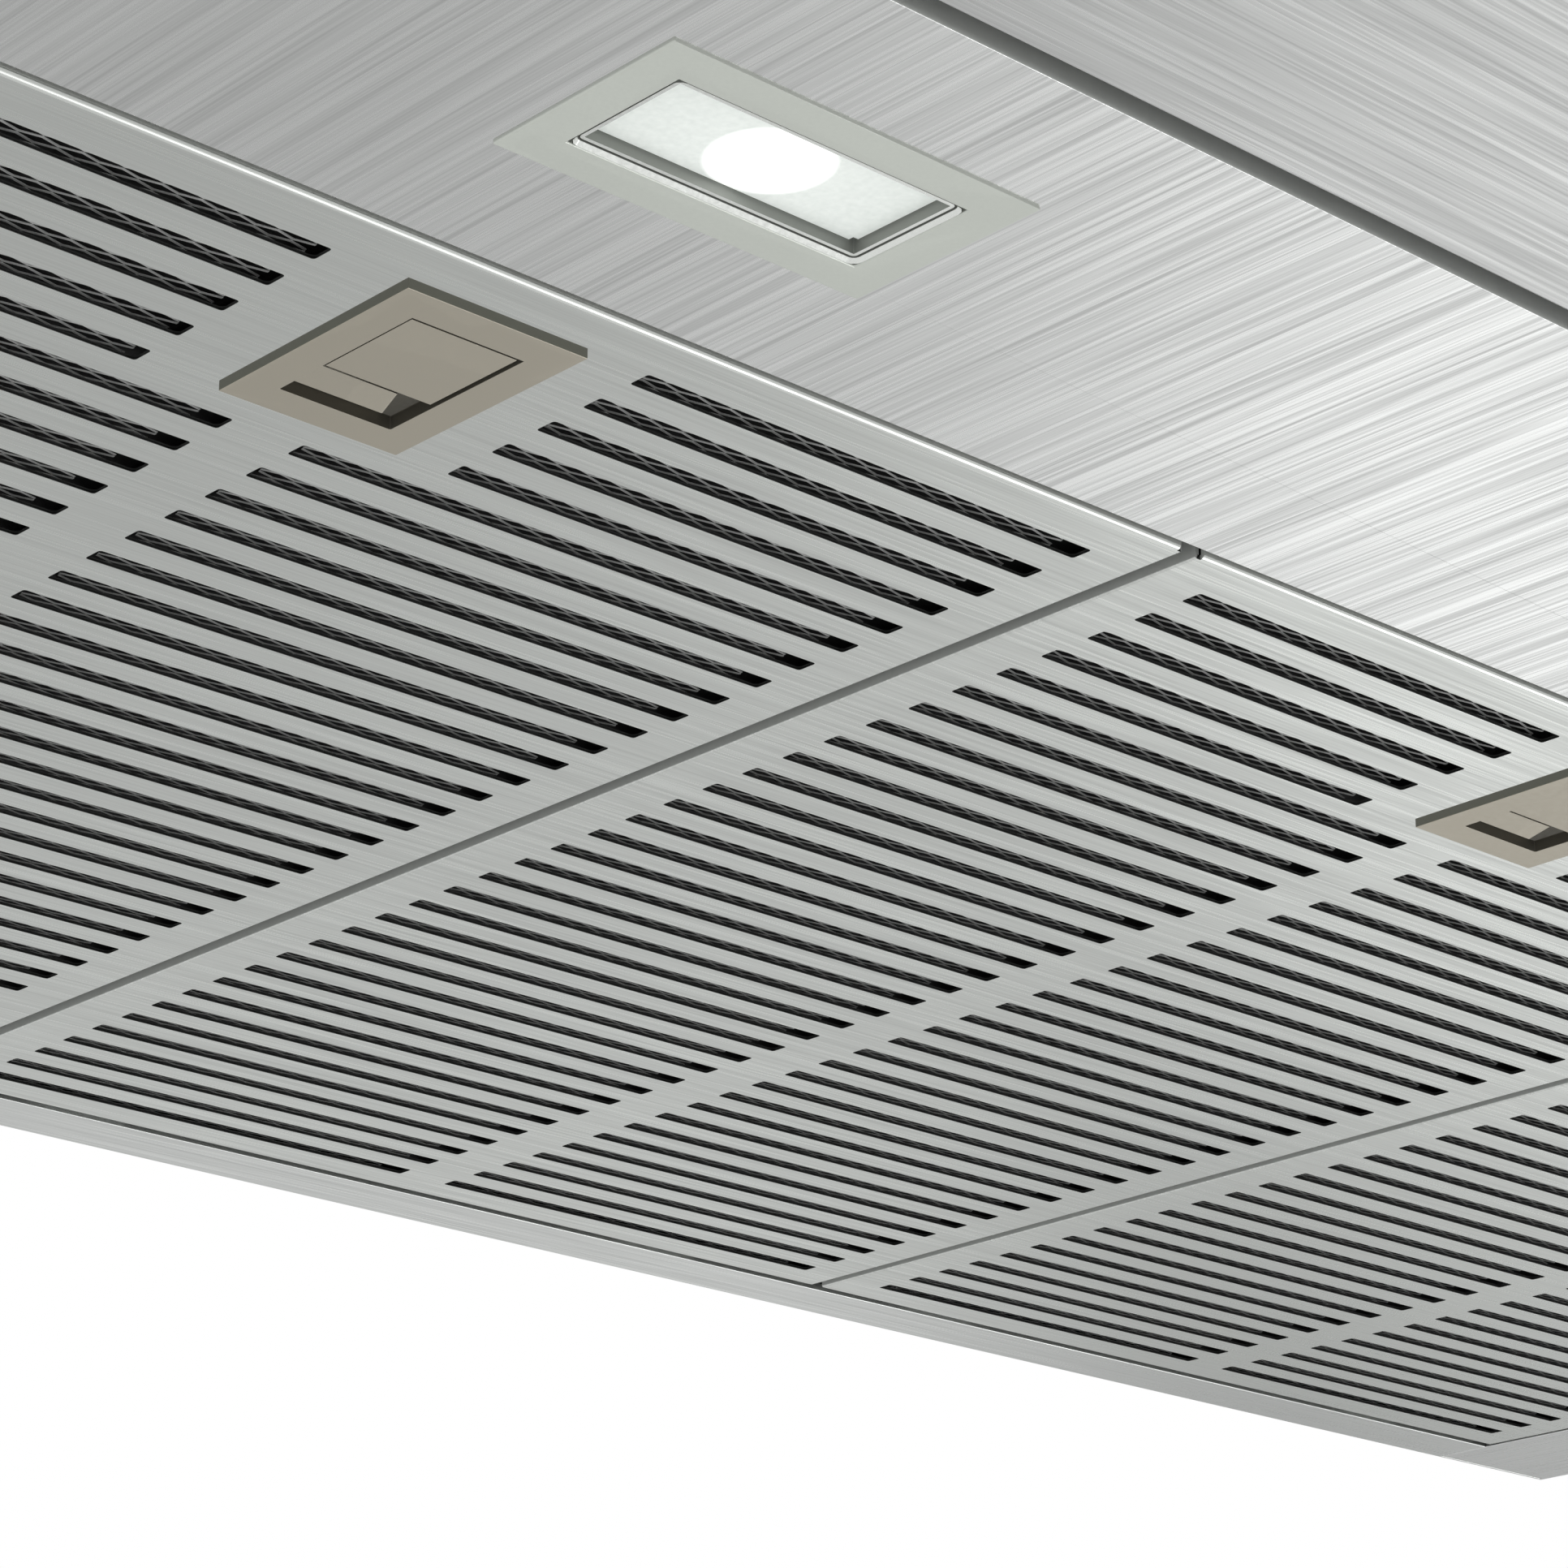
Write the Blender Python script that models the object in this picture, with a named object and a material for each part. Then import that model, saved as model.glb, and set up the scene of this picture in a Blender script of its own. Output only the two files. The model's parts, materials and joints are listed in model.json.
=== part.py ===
"""Island range hood: box canopy with three slotted grease filters, two lamps, blower and telescopic chimney.

Metres, +Z up. The origin is below the centre of the canopy, level with the lowest faces (the filters'
latch plates). X runs along the hood's length, -Y is the side with the buttons.
"""

import math

import bmesh
import bpy
from mathutils import Matrix, Vector

# Canopy
LENGTH = 0.898
DEPTH = 0.600
BASE = 0.002  # underside plane, above the latch plates' faces
TOP = 0.072
SHEET = 0.001
GAP = 0.0003  # between touching pieces
LONG_LIP = 0.0174  # return flange along each long side
END_RIM = 0.0469  # return flange at each end
AIR_OPENING = 0.224

# Filters: three side by side along X, hinged along their far edge
FILTERS = (1, 2, 3)
FILTER_PITCH = 0.268
FILTER_WIDTH = 0.2648
FILTER_NEAR = -0.0938
FILTER_FAR = 0.2798
FILTER_TOP = BASE + 0.0095
FILTER_SHEET = 0.0008
SLOT_PITCH = 0.0106
SLOT_WIDTH = 0.0041
SLOT_ROWS = 34
SLOT_START = 0.0065  # from the filter's centre line
SLOT_END = 0.1213
FIRST_SLOT = -0.0837
SHORT_ROWS = 5  # rows that stop at the latch
SHORT_SLOT_START = 0.0287
HINGE_Y = DEPTH / 2 - LONG_LIP
HEM = 0.002
HINGE_Z = BASE + HEM + GAP  # underside of the tabs
TAB_OFFSET = 0.085
TAB_HALF_WIDTH = 0.012
TAB_REACH = 0.005
MESH_CLEARANCE = FILTER_SHEET + 0.0006
MESH_TOP = BASE + 0.0068
BACK_FRAME_BORDER = 0.012
BACK_FRAME_BAR = 0.005

# Latch of each filter
PLATE_HALF_WIDTH = 0.01627
PLATE_NEAR = -0.0848
PLATE_FAR = -0.0406
WINDOW_HALF_WIDTH = 0.0101
WINDOW_NEAR = -0.0779
WINDOW_FAR = -0.0471
HOUSING_HALF_WIDTH = 0.0125
HOUSING_NEAR = -0.0808
HOUSING_FAR = -0.0446
HOUSING_TOP = BASE + 0.0058
POCKET_TOP = BASE + 0.0046
SLIDE_FAR = -0.0572
SLIDE_BLOCK = 0.0099
RECESS_EDGE = SLIDE_FAR - 0.0012
BOLT_HALF_WIDTH = 0.0059
BOLT_LOW = BASE + 0.0022
BOLT_HIGH = BASE + 0.0042
BOLT_END = -0.1015
KEEPER_CLEARANCE = (0.0015, 0.0006)
SPRING_TURNS = 6
SPRING_WIRE = 0.00025
SPRING_RADIUS = 0.0012

# Panels beside the filters
PANEL_HALF_LENGTH = 0.4005
PANEL_HEIGHT = 0.0075
LIGHT_PANEL = (-0.1830, -0.0972)
COVER_PANEL = (-0.2796, -0.1866)

# Lamps
LAMPS = {"left": -0.268, "right": 0.268}
LAMP_Y = -0.141
TRIM = (0.0653, 0.0359)
LAMP_NECK = (0.0554, 0.0259)
LAMP_OPENING = (0.0515, 0.0220)
LAMP_CUTOUT = (0.0560, 0.0265)
TRIM_FACE = BASE - 0.0012
NECK_TOP = BASE + 0.0065
GASKET_OPENING = (0.0486, 0.0192)
GASKET_LEVELS = (BASE + 0.0016, BASE + 0.0030)
GLASS_LEVELS = (BASE + 0.0033, BASE + 0.0063)
LAMP_CAN = (0.064, 0.034)
LAMP_CAN_LEVELS = (BASE + 0.0068, BASE + 0.028)
LED_BOARD = (0.044, 0.016)
LED_BOARD_LEVELS = (BASE + 0.0251, BASE + 0.0267)
LED_RADIUS = 0.007
LED_FACE = BASE + 0.0225

# Controls in the near fascia
BUTTONS = 5
BUTTON_PITCH = 0.026
BUTTON = (0.016, 0.012)
CONTROLS_Z = 0.038
BEZEL = (0.150, 0.024)
BEZEL_DEPTH = 0.0035
BEZEL_FLANGE = 0.003
BUTTON_FLANGE = 0.0015
STEM_HALF_WIDTH = 0.002
STEM_REACH = 0.0095
SWITCH_BOARD = (0.140, 0.024)
SWITCH_BOARD_DEPTHS = (0.0125, 0.0141)  # behind the canopy's near face
CONTROL_BOX_LOW = (-0.120, -0.270, 0.030)
CONTROL_BOX_FAR = (0.120, -0.200)
CONTROL_BOX_WALL = 0.002

# Chimney and its frame
CHIMNEY = 0.300
LOWER_COVER_HEIGHT = 0.400
CEILING = 0.800
UPPER_COVER = 0.296
UPPER_COVER_HEIGHT = 0.420
LOWER_FRAME = 0.284
LOWER_FRAME_TOP = 0.505
UPPER_FRAME = 0.2794
UPPER_FRAME_FOOT = 0.400
RAIL = 0.020
RAIL_SHEET = 0.002
DUCT_HOLE = 0.080

# Blower
FAN_Y = -0.035
FAN_Z = 0.215
FAN_RADIUS = 0.065
FAN_INNER_RADIUS = 0.050
FAN_HALF_LENGTH = 0.060
BLADES = 24
SCROLL_HALF_LENGTH = 0.070
SCROLL_RADII = (0.073, 0.100)
CUTOFF_ANGLE = 100
SCROLL_TOP = 0.335
INLET_RADIUS = 0.055
CASING = 0.256
CASING_TOP = 0.340
MOTOR_RADIUS = 0.035
MOTOR_ENDS = (0.030, 0.095)
SHAFT_RADIUS = 0.004
SHAFT_ENDS = (-0.014, 0.0495)
SHAFT_BORE_END = 0.050
BRACKET_RADII = (0.0585, 0.064)
BRACKET_SHEET = 0.002
BRACKET_SLEEVE = (0.0032, 0.008)  # wall and length

# Outlet collar and its two backdraft flaps
COLLAR_RADIUS = 0.075
COLLAR_SHEET = 0.0012
COLLAR_TOP = 0.450
COLLAR_BASE = 0.158
FLAP_Z = 0.378
FLAP_RADIUS = 0.072
FLAP_SHEET = 0.0012
FLAP_CUT = 0.0045  # straight edge, from the pin
KNUCKLE_RADIUS = 0.0035
KNUCKLE_ENDS = (0.020, 0.060)
PIN_RADIUS = 0.0015

for leftover in list(bpy.data.objects):
    bpy.data.objects.remove(leftover, do_unlink=True)

HOOD = bpy.data.collections.new("island_range_hood")
CUTTERS = bpy.data.collections.new("cutters")
for collection in (HOOD, CUTTERS):
    bpy.context.scene.collection.children.link(collection)


# ---------------------------------------------------------------- materials


def finish(name, colour, roughness, metallic):
    material = bpy.data.materials.new(name)
    material.use_nodes = True
    shader = material.node_tree.nodes["Principled BSDF"]
    shader.inputs["Base Color"].default_value = (*colour, 1.0)
    shader.inputs["Roughness"].default_value = roughness
    shader.inputs["Metallic"].default_value = metallic
    return material


STEEL = finish("brushed_steel", (0.60, 0.61, 0.60), 0.35, 1.0)
FILTER_STEEL = finish("filter_steel", (0.62, 0.63, 0.61), 0.38, 1.0)
NICKEL = finish("satin_nickel", (0.52, 0.47, 0.40), 0.40, 1.0)
TRIM_GREY = finish("trim_grey", (0.55, 0.57, 0.53), 0.45, 0.6)
ALUMINIUM = finish("aluminium_mesh", (0.45, 0.45, 0.45), 0.45, 1.0)
GALVANISED = finish("galvanised_steel", (0.50, 0.52, 0.53), 0.50, 0.9)
SPRING_STEEL = finish("spring_steel", (0.55, 0.55, 0.55), 0.30, 1.0)
FROSTED_GLASS = finish("frosted_glass", (0.92, 0.95, 0.93), 0.50, 0.0)
RUBBER = finish("gasket_rubber", (0.06, 0.06, 0.06), 0.80, 0.0)
WHITE_PLASTIC = finish("white_plastic", (0.80, 0.80, 0.78), 0.50, 0.0)
BLACK_PLASTIC = finish("black_plastic", (0.04, 0.04, 0.04), 0.50, 0.0)
BOARD_GREEN = finish("circuit_board", (0.05, 0.22, 0.10), 0.50, 0.0)
MOTOR_GREY = finish("motor_grey", (0.30, 0.31, 0.32), 0.50, 0.6)


# ---------------------------------------------------------------- modelling helpers


def new_object(name, mesh, collection=HOOD):
    obj = bpy.data.objects.new(name, mesh)
    collection.objects.link(obj)
    return obj


def mesh_from(bm, name):
    mesh = bpy.data.meshes.new(name)
    bm.to_mesh(mesh)
    bm.free()
    return mesh


def box(low, high, name="block"):
    """A box between two corners."""
    size = Vector(high) - Vector(low)
    centre = (Vector(high) + Vector(low)) / 2
    bm = bmesh.new()
    bmesh.ops.create_cube(bm, size=1, matrix=Matrix.Translation(centre) @ Matrix.Diagonal((*size, 1)))
    return new_object(name, mesh_from(bm, name))


def plate(size_x, size_y, low, high, x=0.0, y=0.0, name="block"):
    """A box centred on (x, y), from one height to another."""
    half_x = size_x / 2
    half_y = size_y / 2
    return box((x - half_x, y - half_y, low), (x + half_x, y + half_y, high), name)


def rod(axis, centre, radius, low, high, segments=32, name="rod"):
    """A cylinder along X or Z through centre (its other two coordinates), between two positions."""
    turn = Matrix.Rotation(math.pi / 2, 4, "Y") if axis == "X" else Matrix.Identity(4)
    middle = (low + high) / 2
    place = (middle, *centre) if axis == "X" else (*centre, middle)
    bm = bmesh.new()
    bmesh.ops.create_cone(
        bm,
        cap_ends=True,
        segments=segments,
        radius1=radius,
        radius2=radius,
        depth=high - low,
        matrix=Matrix.Translation(place) @ turn,
    )
    obj = new_object(name, mesh_from(bm, name))
    obj.data.shade_smooth()
    obj.data.set_sharp_from_angle(angle=math.radians(40))
    return obj


def combined(target, others, operation):
    """Apply Booleans with the other objects to target, and remove them."""
    for other in others:
        modifier = target.modifiers.new(operation.lower(), "BOOLEAN")
        modifier.operation = operation
        modifier.solver = "EXACT"
        modifier.object = other
    graph = bpy.context.evaluated_depsgraph_get()
    mesh = bpy.data.meshes.new_from_object(target.evaluated_get(graph))
    target.modifiers.clear()
    target.data = mesh
    for other in others:
        bpy.data.objects.remove(other, do_unlink=True)
    return target


def joined(*pieces):
    return combined(pieces[0], pieces[1:], "UNION")


def cut(target, *cutters):
    return combined(target, cutters, "DIFFERENCE")


def boxes_as_one(corners, name="cutter"):
    """Separate boxes in one mesh, which cuts them all at once."""
    bm = bmesh.new()
    for low, high in corners:
        size = Vector(high) - Vector(low)
        centre = (Vector(high) + Vector(low)) / 2
        bmesh.ops.create_cube(
            bm, size=1, matrix=Matrix.Translation(centre) @ Matrix.Diagonal((*size, 1))
        )
    return new_object(name, mesh_from(bm, name), CUTTERS)


def extruded_outline(points, x_low, x_high):
    """A solid with the given outline in the Y-Z plane, between two positions along X."""
    curve = bpy.data.curves.new("outline", "CURVE")
    curve.dimensions = "2D"
    curve.fill_mode = "BOTH"
    curve.extrude = (x_high - x_low) / 2
    spline = curve.splines.new("POLY")
    spline.points.add(len(points) - 1)
    for point, (y, z) in zip(spline.points, points):
        point.co = (y, z, 0, 1)
    spline.use_cyclic_u = True
    obj = bpy.data.objects.new("outline", curve)
    HOOD.objects.link(obj)
    turn = Matrix(((0, 0, 1, 0), (1, 0, 0, 0), (0, 1, 0, 0), (0, 0, 0, 1)))
    obj.matrix_world = Matrix.Translation(((x_low + x_high) / 2, 0, 0)) @ turn
    return curve_to_mesh(obj)


def curve_to_mesh(obj):
    """The curve as a closed mesh object in world coordinates."""
    bpy.context.view_layer.update()
    graph = bpy.context.evaluated_depsgraph_get()
    mesh = bpy.data.meshes.new_from_object(obj.evaluated_get(graph))
    mesh.transform(obj.matrix_world)
    bpy.data.objects.remove(obj, do_unlink=True)
    bm = bmesh.new()
    bm.from_mesh(mesh)
    bmesh.ops.remove_doubles(bm, verts=bm.verts, dist=1e-6)
    bmesh.ops.recalc_face_normals(bm, faces=bm.faces)
    bm.to_mesh(mesh)
    bm.free()
    return new_object("solid", mesh)


def tray(low, high, sheet):
    """A sheet folded up on all four sides, open at the top."""
    inner_low = (low[0] + sheet, low[1] + sheet, low[2] + sheet)
    inner_high = (high[0] - sheet, high[1] - sheet, high[2] + sheet)
    return cut(box(low, high), box(inner_low, inner_high))


def square_tube(side, sheet, low, high):
    inner = side - 2 * sheet
    return cut(plate(side, side, low, high), plate(inner, inner, low - sheet, high + sheet))


def part(obj, name, material, origin=(0, 0, 0)):
    """Give a finished solid its node name and material, and put its origin on its joint or base."""
    obj.name = name
    obj.data.name = name
    obj.data.materials.clear()
    obj.data.materials.append(material)
    obj.data.transform(Matrix.Translation(-Vector(origin)))
    obj.location = origin
    return obj


def copy_at(obj, name, shift_x):
    """Another object with the same mesh, moved along X."""
    twin = new_object(name, obj.data)
    twin.location = obj.location + Vector((shift_x, 0, 0))
    return twin


def pivot(name, location, children):
    """An empty on a joint's axis, with the moving pieces parented to it."""
    empty = bpy.data.objects.new(name, None)
    empty.location = location
    empty.empty_display_size = 0.02
    HOOD.objects.link(empty)
    bpy.context.view_layer.update()
    for child in children:
        child.parent = empty
        child.matrix_parent_inverse = empty.matrix_world.inverted()
    return empty


# ---------------------------------------------------------------- canopy


def canopy_shell():
    """Top, two long fascias and their return flanges, folded from one sheet."""
    half = LENGTH / 2 - SHEET - GAP
    side = DEPTH / 2
    rim_end = LENGTH / 2 - END_RIM - GAP
    shell = [box((-half, -side, TOP - SHEET), (half, side, TOP))]
    for sign in (-1, 1):
        outer = sign * side
        inner = sign * (side - SHEET)
        lip = sign * (side - LONG_LIP)
        hem_end = lip + sign * 0.006
        shell.append(box((-half, min(outer, inner), BASE), (half, max(outer, inner), TOP)))
        shell.append(box((-rim_end, min(outer, lip), BASE), (rim_end, max(outer, lip), BASE + SHEET)))
        shell.append(box((-rim_end, min(hem_end, lip), BASE), (rim_end, max(hem_end, lip), BASE + HEM)))
    body = joined(*shell)
    air = plate(AIR_OPENING, AIR_OPENING, TOP - 0.01, TOP + 0.01)
    bezel_x = BEZEL[0] / 2 + GAP
    bezel_z = BEZEL[1] / 2 + GAP
    controls = box(
        (-bezel_x, -side - 0.01, CONTROLS_Z - bezel_z),
        (bezel_x, -side + 0.01, CONTROLS_Z + bezel_z),
    )
    return part(cut(body, air, controls), "canopy_shell", STEEL)


def end_cap(name, sign):
    """End wall with its wide bottom rim and the upturned flange that carries the panels."""
    outer = LENGTH / 2
    rim = outer - END_RIM
    side = DEPTH / 2
    inside = side - SHEET - GAP
    walls = [
        ((outer - SHEET, -side, BASE), (outer, side, TOP)),
        ((rim, -inside, BASE), (outer, inside, BASE + SHEET)),
        ((rim, -inside + LONG_LIP, BASE), (rim + SHEET, inside - LONG_LIP, BASE + 0.016)),
    ]
    pieces = []
    for low, high in walls:
        if sign < 0:
            low, high = (-high[0], low[1], low[2]), (-low[0], high[1], high[2])
        pieces.append(box(low, high))
    return part(joined(*pieces), name, STEEL)


def light_panel():
    """Panel with the lamps' cut-outs, and a keeper slot for each filter's bolt in its far flange."""
    near, far = LIGHT_PANEL
    panel = tray((-PANEL_HALF_LENGTH, near, BASE), (PANEL_HALF_LENGTH, far, BASE + PANEL_HEIGHT), SHEET)
    openings = [plate(*LAMP_CUTOUT, BASE - 0.01, BASE + 0.005, x, LAMP_Y) for x in LAMPS.values()]
    spare_x, spare_z = KEEPER_CLEARANCE
    keeper = BOLT_HALF_WIDTH + spare_x
    for index in FILTERS:
        x = filter_x(index)
        low = (x - keeper, far - 0.004, BOLT_LOW - spare_z)
        openings.append(box(low, (x + keeper, far + 0.004, BOLT_HIGH + spare_z)))
    return part(cut(panel, *openings), "light_panel", STEEL)


def cover_panel():
    near, far = COVER_PANEL
    panel = tray((-PANEL_HALF_LENGTH, near, BASE), (PANEL_HALF_LENGTH, far, BASE + PANEL_HEIGHT), SHEET)
    return part(panel, "control_cover_panel", STEEL)


# ---------------------------------------------------------------- filters


def filter_x(index):
    return (index - 2) * FILTER_PITCH


def slot_boxes():
    """Every slot of one filter, as cutting boxes."""
    slots = []
    for row in range(SLOT_ROWS):
        near = FIRST_SLOT + row * SLOT_PITCH
        start = SHORT_SLOT_START if row < SHORT_ROWS else SLOT_START
        for low_x, high_x in ((-SLOT_END, -start), (start, SLOT_END)):
            slots.append(((low_x, near, BASE - 0.001), (high_x, near + SLOT_WIDTH, BASE + 0.002)))
    return slots


def filter_face():
    """Slotted tray with the latch's cut-out, the bolt's slot and two tabs that hook over the far lip."""
    half = FILTER_WIDTH / 2
    face = tray((-half, FILTER_NEAR, BASE), (half, FILTER_FAR, FILTER_TOP), FILTER_SHEET)
    tabs = []
    for x in (-TAB_OFFSET, TAB_OFFSET):
        low = (x - TAB_HALF_WIDTH, FILTER_FAR - FILTER_SHEET / 2, HINGE_Z)
        high = (x + TAB_HALF_WIDTH, HINGE_Y + TAB_REACH, HINGE_Z + SHEET)
        tabs.append(box(low, high))
    face = joined(face, *tabs)
    latch_hole = box(
        (-HOUSING_HALF_WIDTH - GAP, HOUSING_NEAR - GAP, BASE - 0.002),
        (HOUSING_HALF_WIDTH + GAP, HOUSING_FAR + GAP, BASE + 0.002),
    )
    bolt_hole = box(
        (-BOLT_HALF_WIDTH - GAP, FILTER_NEAR - 0.002, BOLT_LOW - GAP),
        (BOLT_HALF_WIDTH + GAP, FILTER_NEAR + 0.002, BOLT_HIGH + GAP),
    )
    return cut(face, boxes_as_one(slot_boxes()), latch_hole, bolt_hole)


def filter_mesh():
    """Pack of expanded metal behind the slots, notched for the latch."""
    half = FILTER_WIDTH / 2 - MESH_CLEARANCE
    near = FILTER_NEAR + MESH_CLEARANCE
    far = FILTER_FAR - MESH_CLEARANCE
    notch = HOUSING_HALF_WIDTH + 0.0015
    pack = box((-half, near, BASE + FILTER_SHEET + 0.0005), (half, far, MESH_TOP))
    return cut(pack, box((-notch, near - 0.01, BASE), (notch, HOUSING_FAR + 0.0016, FILTER_TOP)))


def filter_back():
    """Open frame that holds the mesh pack down from behind."""
    half = FILTER_WIDTH / 2 - MESH_CLEARANCE
    near = FILTER_NEAR + MESH_CLEARANCE
    far = FILTER_FAR - MESH_CLEARANCE
    border = BACK_FRAME_BORDER
    bar = BACK_FRAME_BAR
    frame = box((-half, near, MESH_TOP + GAP), (half, far, MESH_TOP + GAP + 0.002))
    windows = []
    for side in (-1, 1):
        for row in range(3):
            step = (far - near - 2 * border + 2 * bar) / 3
            low_y = near + border + row * step
            x_low = bar if side > 0 else -half + border
            x_high = half - border if side > 0 else -bar
            low_z = BASE + 0.005
            windows.append(((x_low, low_y, low_z), (x_high, low_y + step - 2 * bar, FILTER_TOP)))
    return cut(frame, boxes_as_one(windows))


def latch_plate():
    """Face plate with a pocket behind it; the slide runs in the pocket and over its recess floor."""
    flange = box((-PLATE_HALF_WIDTH, PLATE_NEAR, 0), (PLATE_HALF_WIDTH, PLATE_FAR, BASE - GAP))
    housing = box(
        (-HOUSING_HALF_WIDTH, HOUSING_NEAR, 0),
        (HOUSING_HALF_WIDTH, HOUSING_FAR, HOUSING_TOP),
    )
    half = WINDOW_HALF_WIDTH
    pocket = box((-half, WINDOW_NEAR, -0.001), (half, RECESS_EDGE, POCKET_TOP))
    recess = box((-half, RECESS_EDGE - 0.002, -0.001), (half, WINDOW_FAR, BASE + 0.0002))
    spring_seat = box(
        (-0.004, RECESS_EDGE - 0.002, BASE + 0.0012),
        (0.004, WINDOW_FAR - 0.0004, POCKET_TOP),
    )
    bolt_way = box(
        (-BOLT_HALF_WIDTH - GAP, HOUSING_NEAR - 0.0007, BOLT_LOW - GAP),
        (BOLT_HALF_WIDTH + GAP, WINDOW_NEAR + 0.001, BOLT_HIGH + GAP),
    )
    return cut(joined(flange, housing), pocket, recess, spring_seat, bolt_way)


def latch_slide():
    """Finger plate, its guide block and the bolt that enters the light panel's keeper slot."""
    half = WINDOW_HALF_WIDTH - GAP
    near = WINDOW_NEAR + GAP
    finger = box((-half, near, GAP), (half, SLIDE_FAR, BASE - 0.0001))
    block = box((-half, near, GAP), (half, near + SLIDE_BLOCK, POCKET_TOP - GAP))
    bolt = box((-BOLT_HALF_WIDTH, BOLT_END, BOLT_LOW), (BOLT_HALF_WIDTH, near + 0.005, BOLT_HIGH))
    return joined(finger, block, bolt)


def latch_spring():
    """Compression spring between the slide's block and the end of its seat."""
    start = WINDOW_NEAR + 2 * GAP + SLIDE_BLOCK + SPRING_WIRE
    end = WINDOW_FAR - 0.0007 - SPRING_WIRE
    centre_z = BASE + 0.0029
    steps = SPRING_TURNS * 8
    curve = bpy.data.curves.new("spring", "CURVE")
    curve.dimensions = "3D"
    curve.bevel_depth = SPRING_WIRE
    curve.bevel_resolution = 1
    curve.use_fill_caps = True
    spline = curve.splines.new("POLY")
    spline.points.add(steps)
    for step, point in enumerate(spline.points):
        angle = 2 * math.pi * step / 8
        along = start + (end - start) * step / steps
        across = SPRING_RADIUS * math.cos(angle)
        point.co = (across, along, centre_z + SPRING_RADIUS * math.sin(angle), 1)
    obj = bpy.data.objects.new("spring", curve)
    HOOD.objects.link(obj)
    return curve_to_mesh(obj)


def filters():
    """Three identical filters, each hinged on its far lip, with a sprung latch at its near edge."""
    hinge = (0, HINGE_Y, HINGE_Z)
    latch = (0, WINDOW_NEAR, BASE)
    patterns = {
        "filter_face": part(filter_face(), "filter_face_2", FILTER_STEEL, hinge),
        "filter_mesh": part(filter_mesh(), "filter_mesh_2", ALUMINIUM, hinge),
        "filter_back_frame": part(filter_back(), "filter_back_frame_2", GALVANISED, hinge),
        "latch_plate": part(latch_plate(), "latch_plate_2", NICKEL, hinge),
        "latch_slide": part(latch_slide(), "latch_slide_2", NICKEL, latch),
        "latch_spring": part(latch_spring(), "latch_spring_2", SPRING_STEEL, latch),
    }
    for index in FILTERS:
        x = filter_x(index)
        pieces = {}
        for name, pattern in patterns.items():
            pieces[name] = pattern if index == 2 else copy_at(pattern, f"{name}_{index}", x)
        swinging = [piece for name, piece in pieces.items() if name not in ("latch_slide", "latch_spring")]
        hinge_pivot = pivot(f"filter_hinge_{index}", (x, HINGE_Y, HINGE_Z), swinging)
        sliding = (pieces["latch_slide"], pieces["latch_spring"])
        latch_pivot = pivot(f"latch_travel_{index}", (x, WINDOW_NEAR, BASE), sliding)
        latch_pivot.parent = hinge_pivot
        latch_pivot.matrix_parent_inverse = hinge_pivot.matrix_world.inverted()


# ---------------------------------------------------------------- lamps


def ring_plate(outer, inner, low, high, x, y):
    """A rectangular plate with a rectangular opening."""
    return cut(
        plate(*outer, low, high, x, y),
        plate(*inner, low - 0.001, high + 0.001, x, y),
    )


def lamp(side, x):
    flange = plate(*TRIM, TRIM_FACE, BASE - GAP, x, LAMP_Y)
    neck = plate(*LAMP_NECK, TRIM_FACE, NECK_TOP, x, LAMP_Y)
    opening = plate(*LAMP_OPENING, TRIM_FACE - 0.001, NECK_TOP + 0.001, x, LAMP_Y)
    part(cut(joined(flange, neck), opening), f"lamp_trim_{side}", TRIM_GREY)

    inside = (LAMP_OPENING[0] - 2 * GAP, LAMP_OPENING[1] - 2 * GAP)
    gasket = ring_plate(inside, GASKET_OPENING, *GASKET_LEVELS, x, LAMP_Y)
    part(gasket, f"lamp_gasket_{side}", RUBBER)
    part(plate(*inside, *GLASS_LEVELS, x, LAMP_Y), f"lamp_glass_{side}", FROSTED_GLASS)

    low, high = LAMP_CAN_LEVELS
    can_inside = (LAMP_CAN[0] - 2 * SHEET, LAMP_CAN[1] - 2 * SHEET)
    can = cut(
        plate(*LAMP_CAN, low, high, x, LAMP_Y),
        plate(*can_inside, low - 0.001, high - SHEET, x, LAMP_Y),
    )
    part(can, f"lamp_housing_{side}", GALVANISED)
    board = plate(*LED_BOARD, *LED_BOARD_LEVELS, x, LAMP_Y)
    led = rod("Z", (x, LAMP_Y), LED_RADIUS, LED_FACE, LED_BOARD_LEVELS[0] + 0.0004, 24)
    part(joined(board, led), f"lamp_led_{side}", WHITE_PLASTIC)


# ---------------------------------------------------------------- controls


def control_bezel():
    face = -DEPTH / 2
    x, z = BEZEL[0] / 2, BEZEL[1] / 2
    back = face + BEZEL_DEPTH
    front = box((-x, face, CONTROLS_Z - z), (x, back, CONTROLS_Z + z))
    flange = box(
        (-x - BEZEL_FLANGE, face + SHEET + GAP, CONTROLS_Z - z - BEZEL_FLANGE),
        (x + BEZEL_FLANGE, back, CONTROLS_Z + z + BEZEL_FLANGE),
    )
    holes = []
    for index in range(BUTTONS):
        centre = button_x(index)
        half_x = BUTTON[0] / 2 + GAP
        half_z = BUTTON[1] / 2 + GAP
        low = (centre - half_x, face - 0.002, CONTROLS_Z - half_z)
        holes.append((low, (centre + half_x, back + 0.002, CONTROLS_Z + half_z)))
    return part(cut(joined(front, flange), boxes_as_one(holes)), "control_bezel", BLACK_PLASTIC)


def button_x(index):
    return (index - (BUTTONS - 1) / 2) * BUTTON_PITCH


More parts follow.
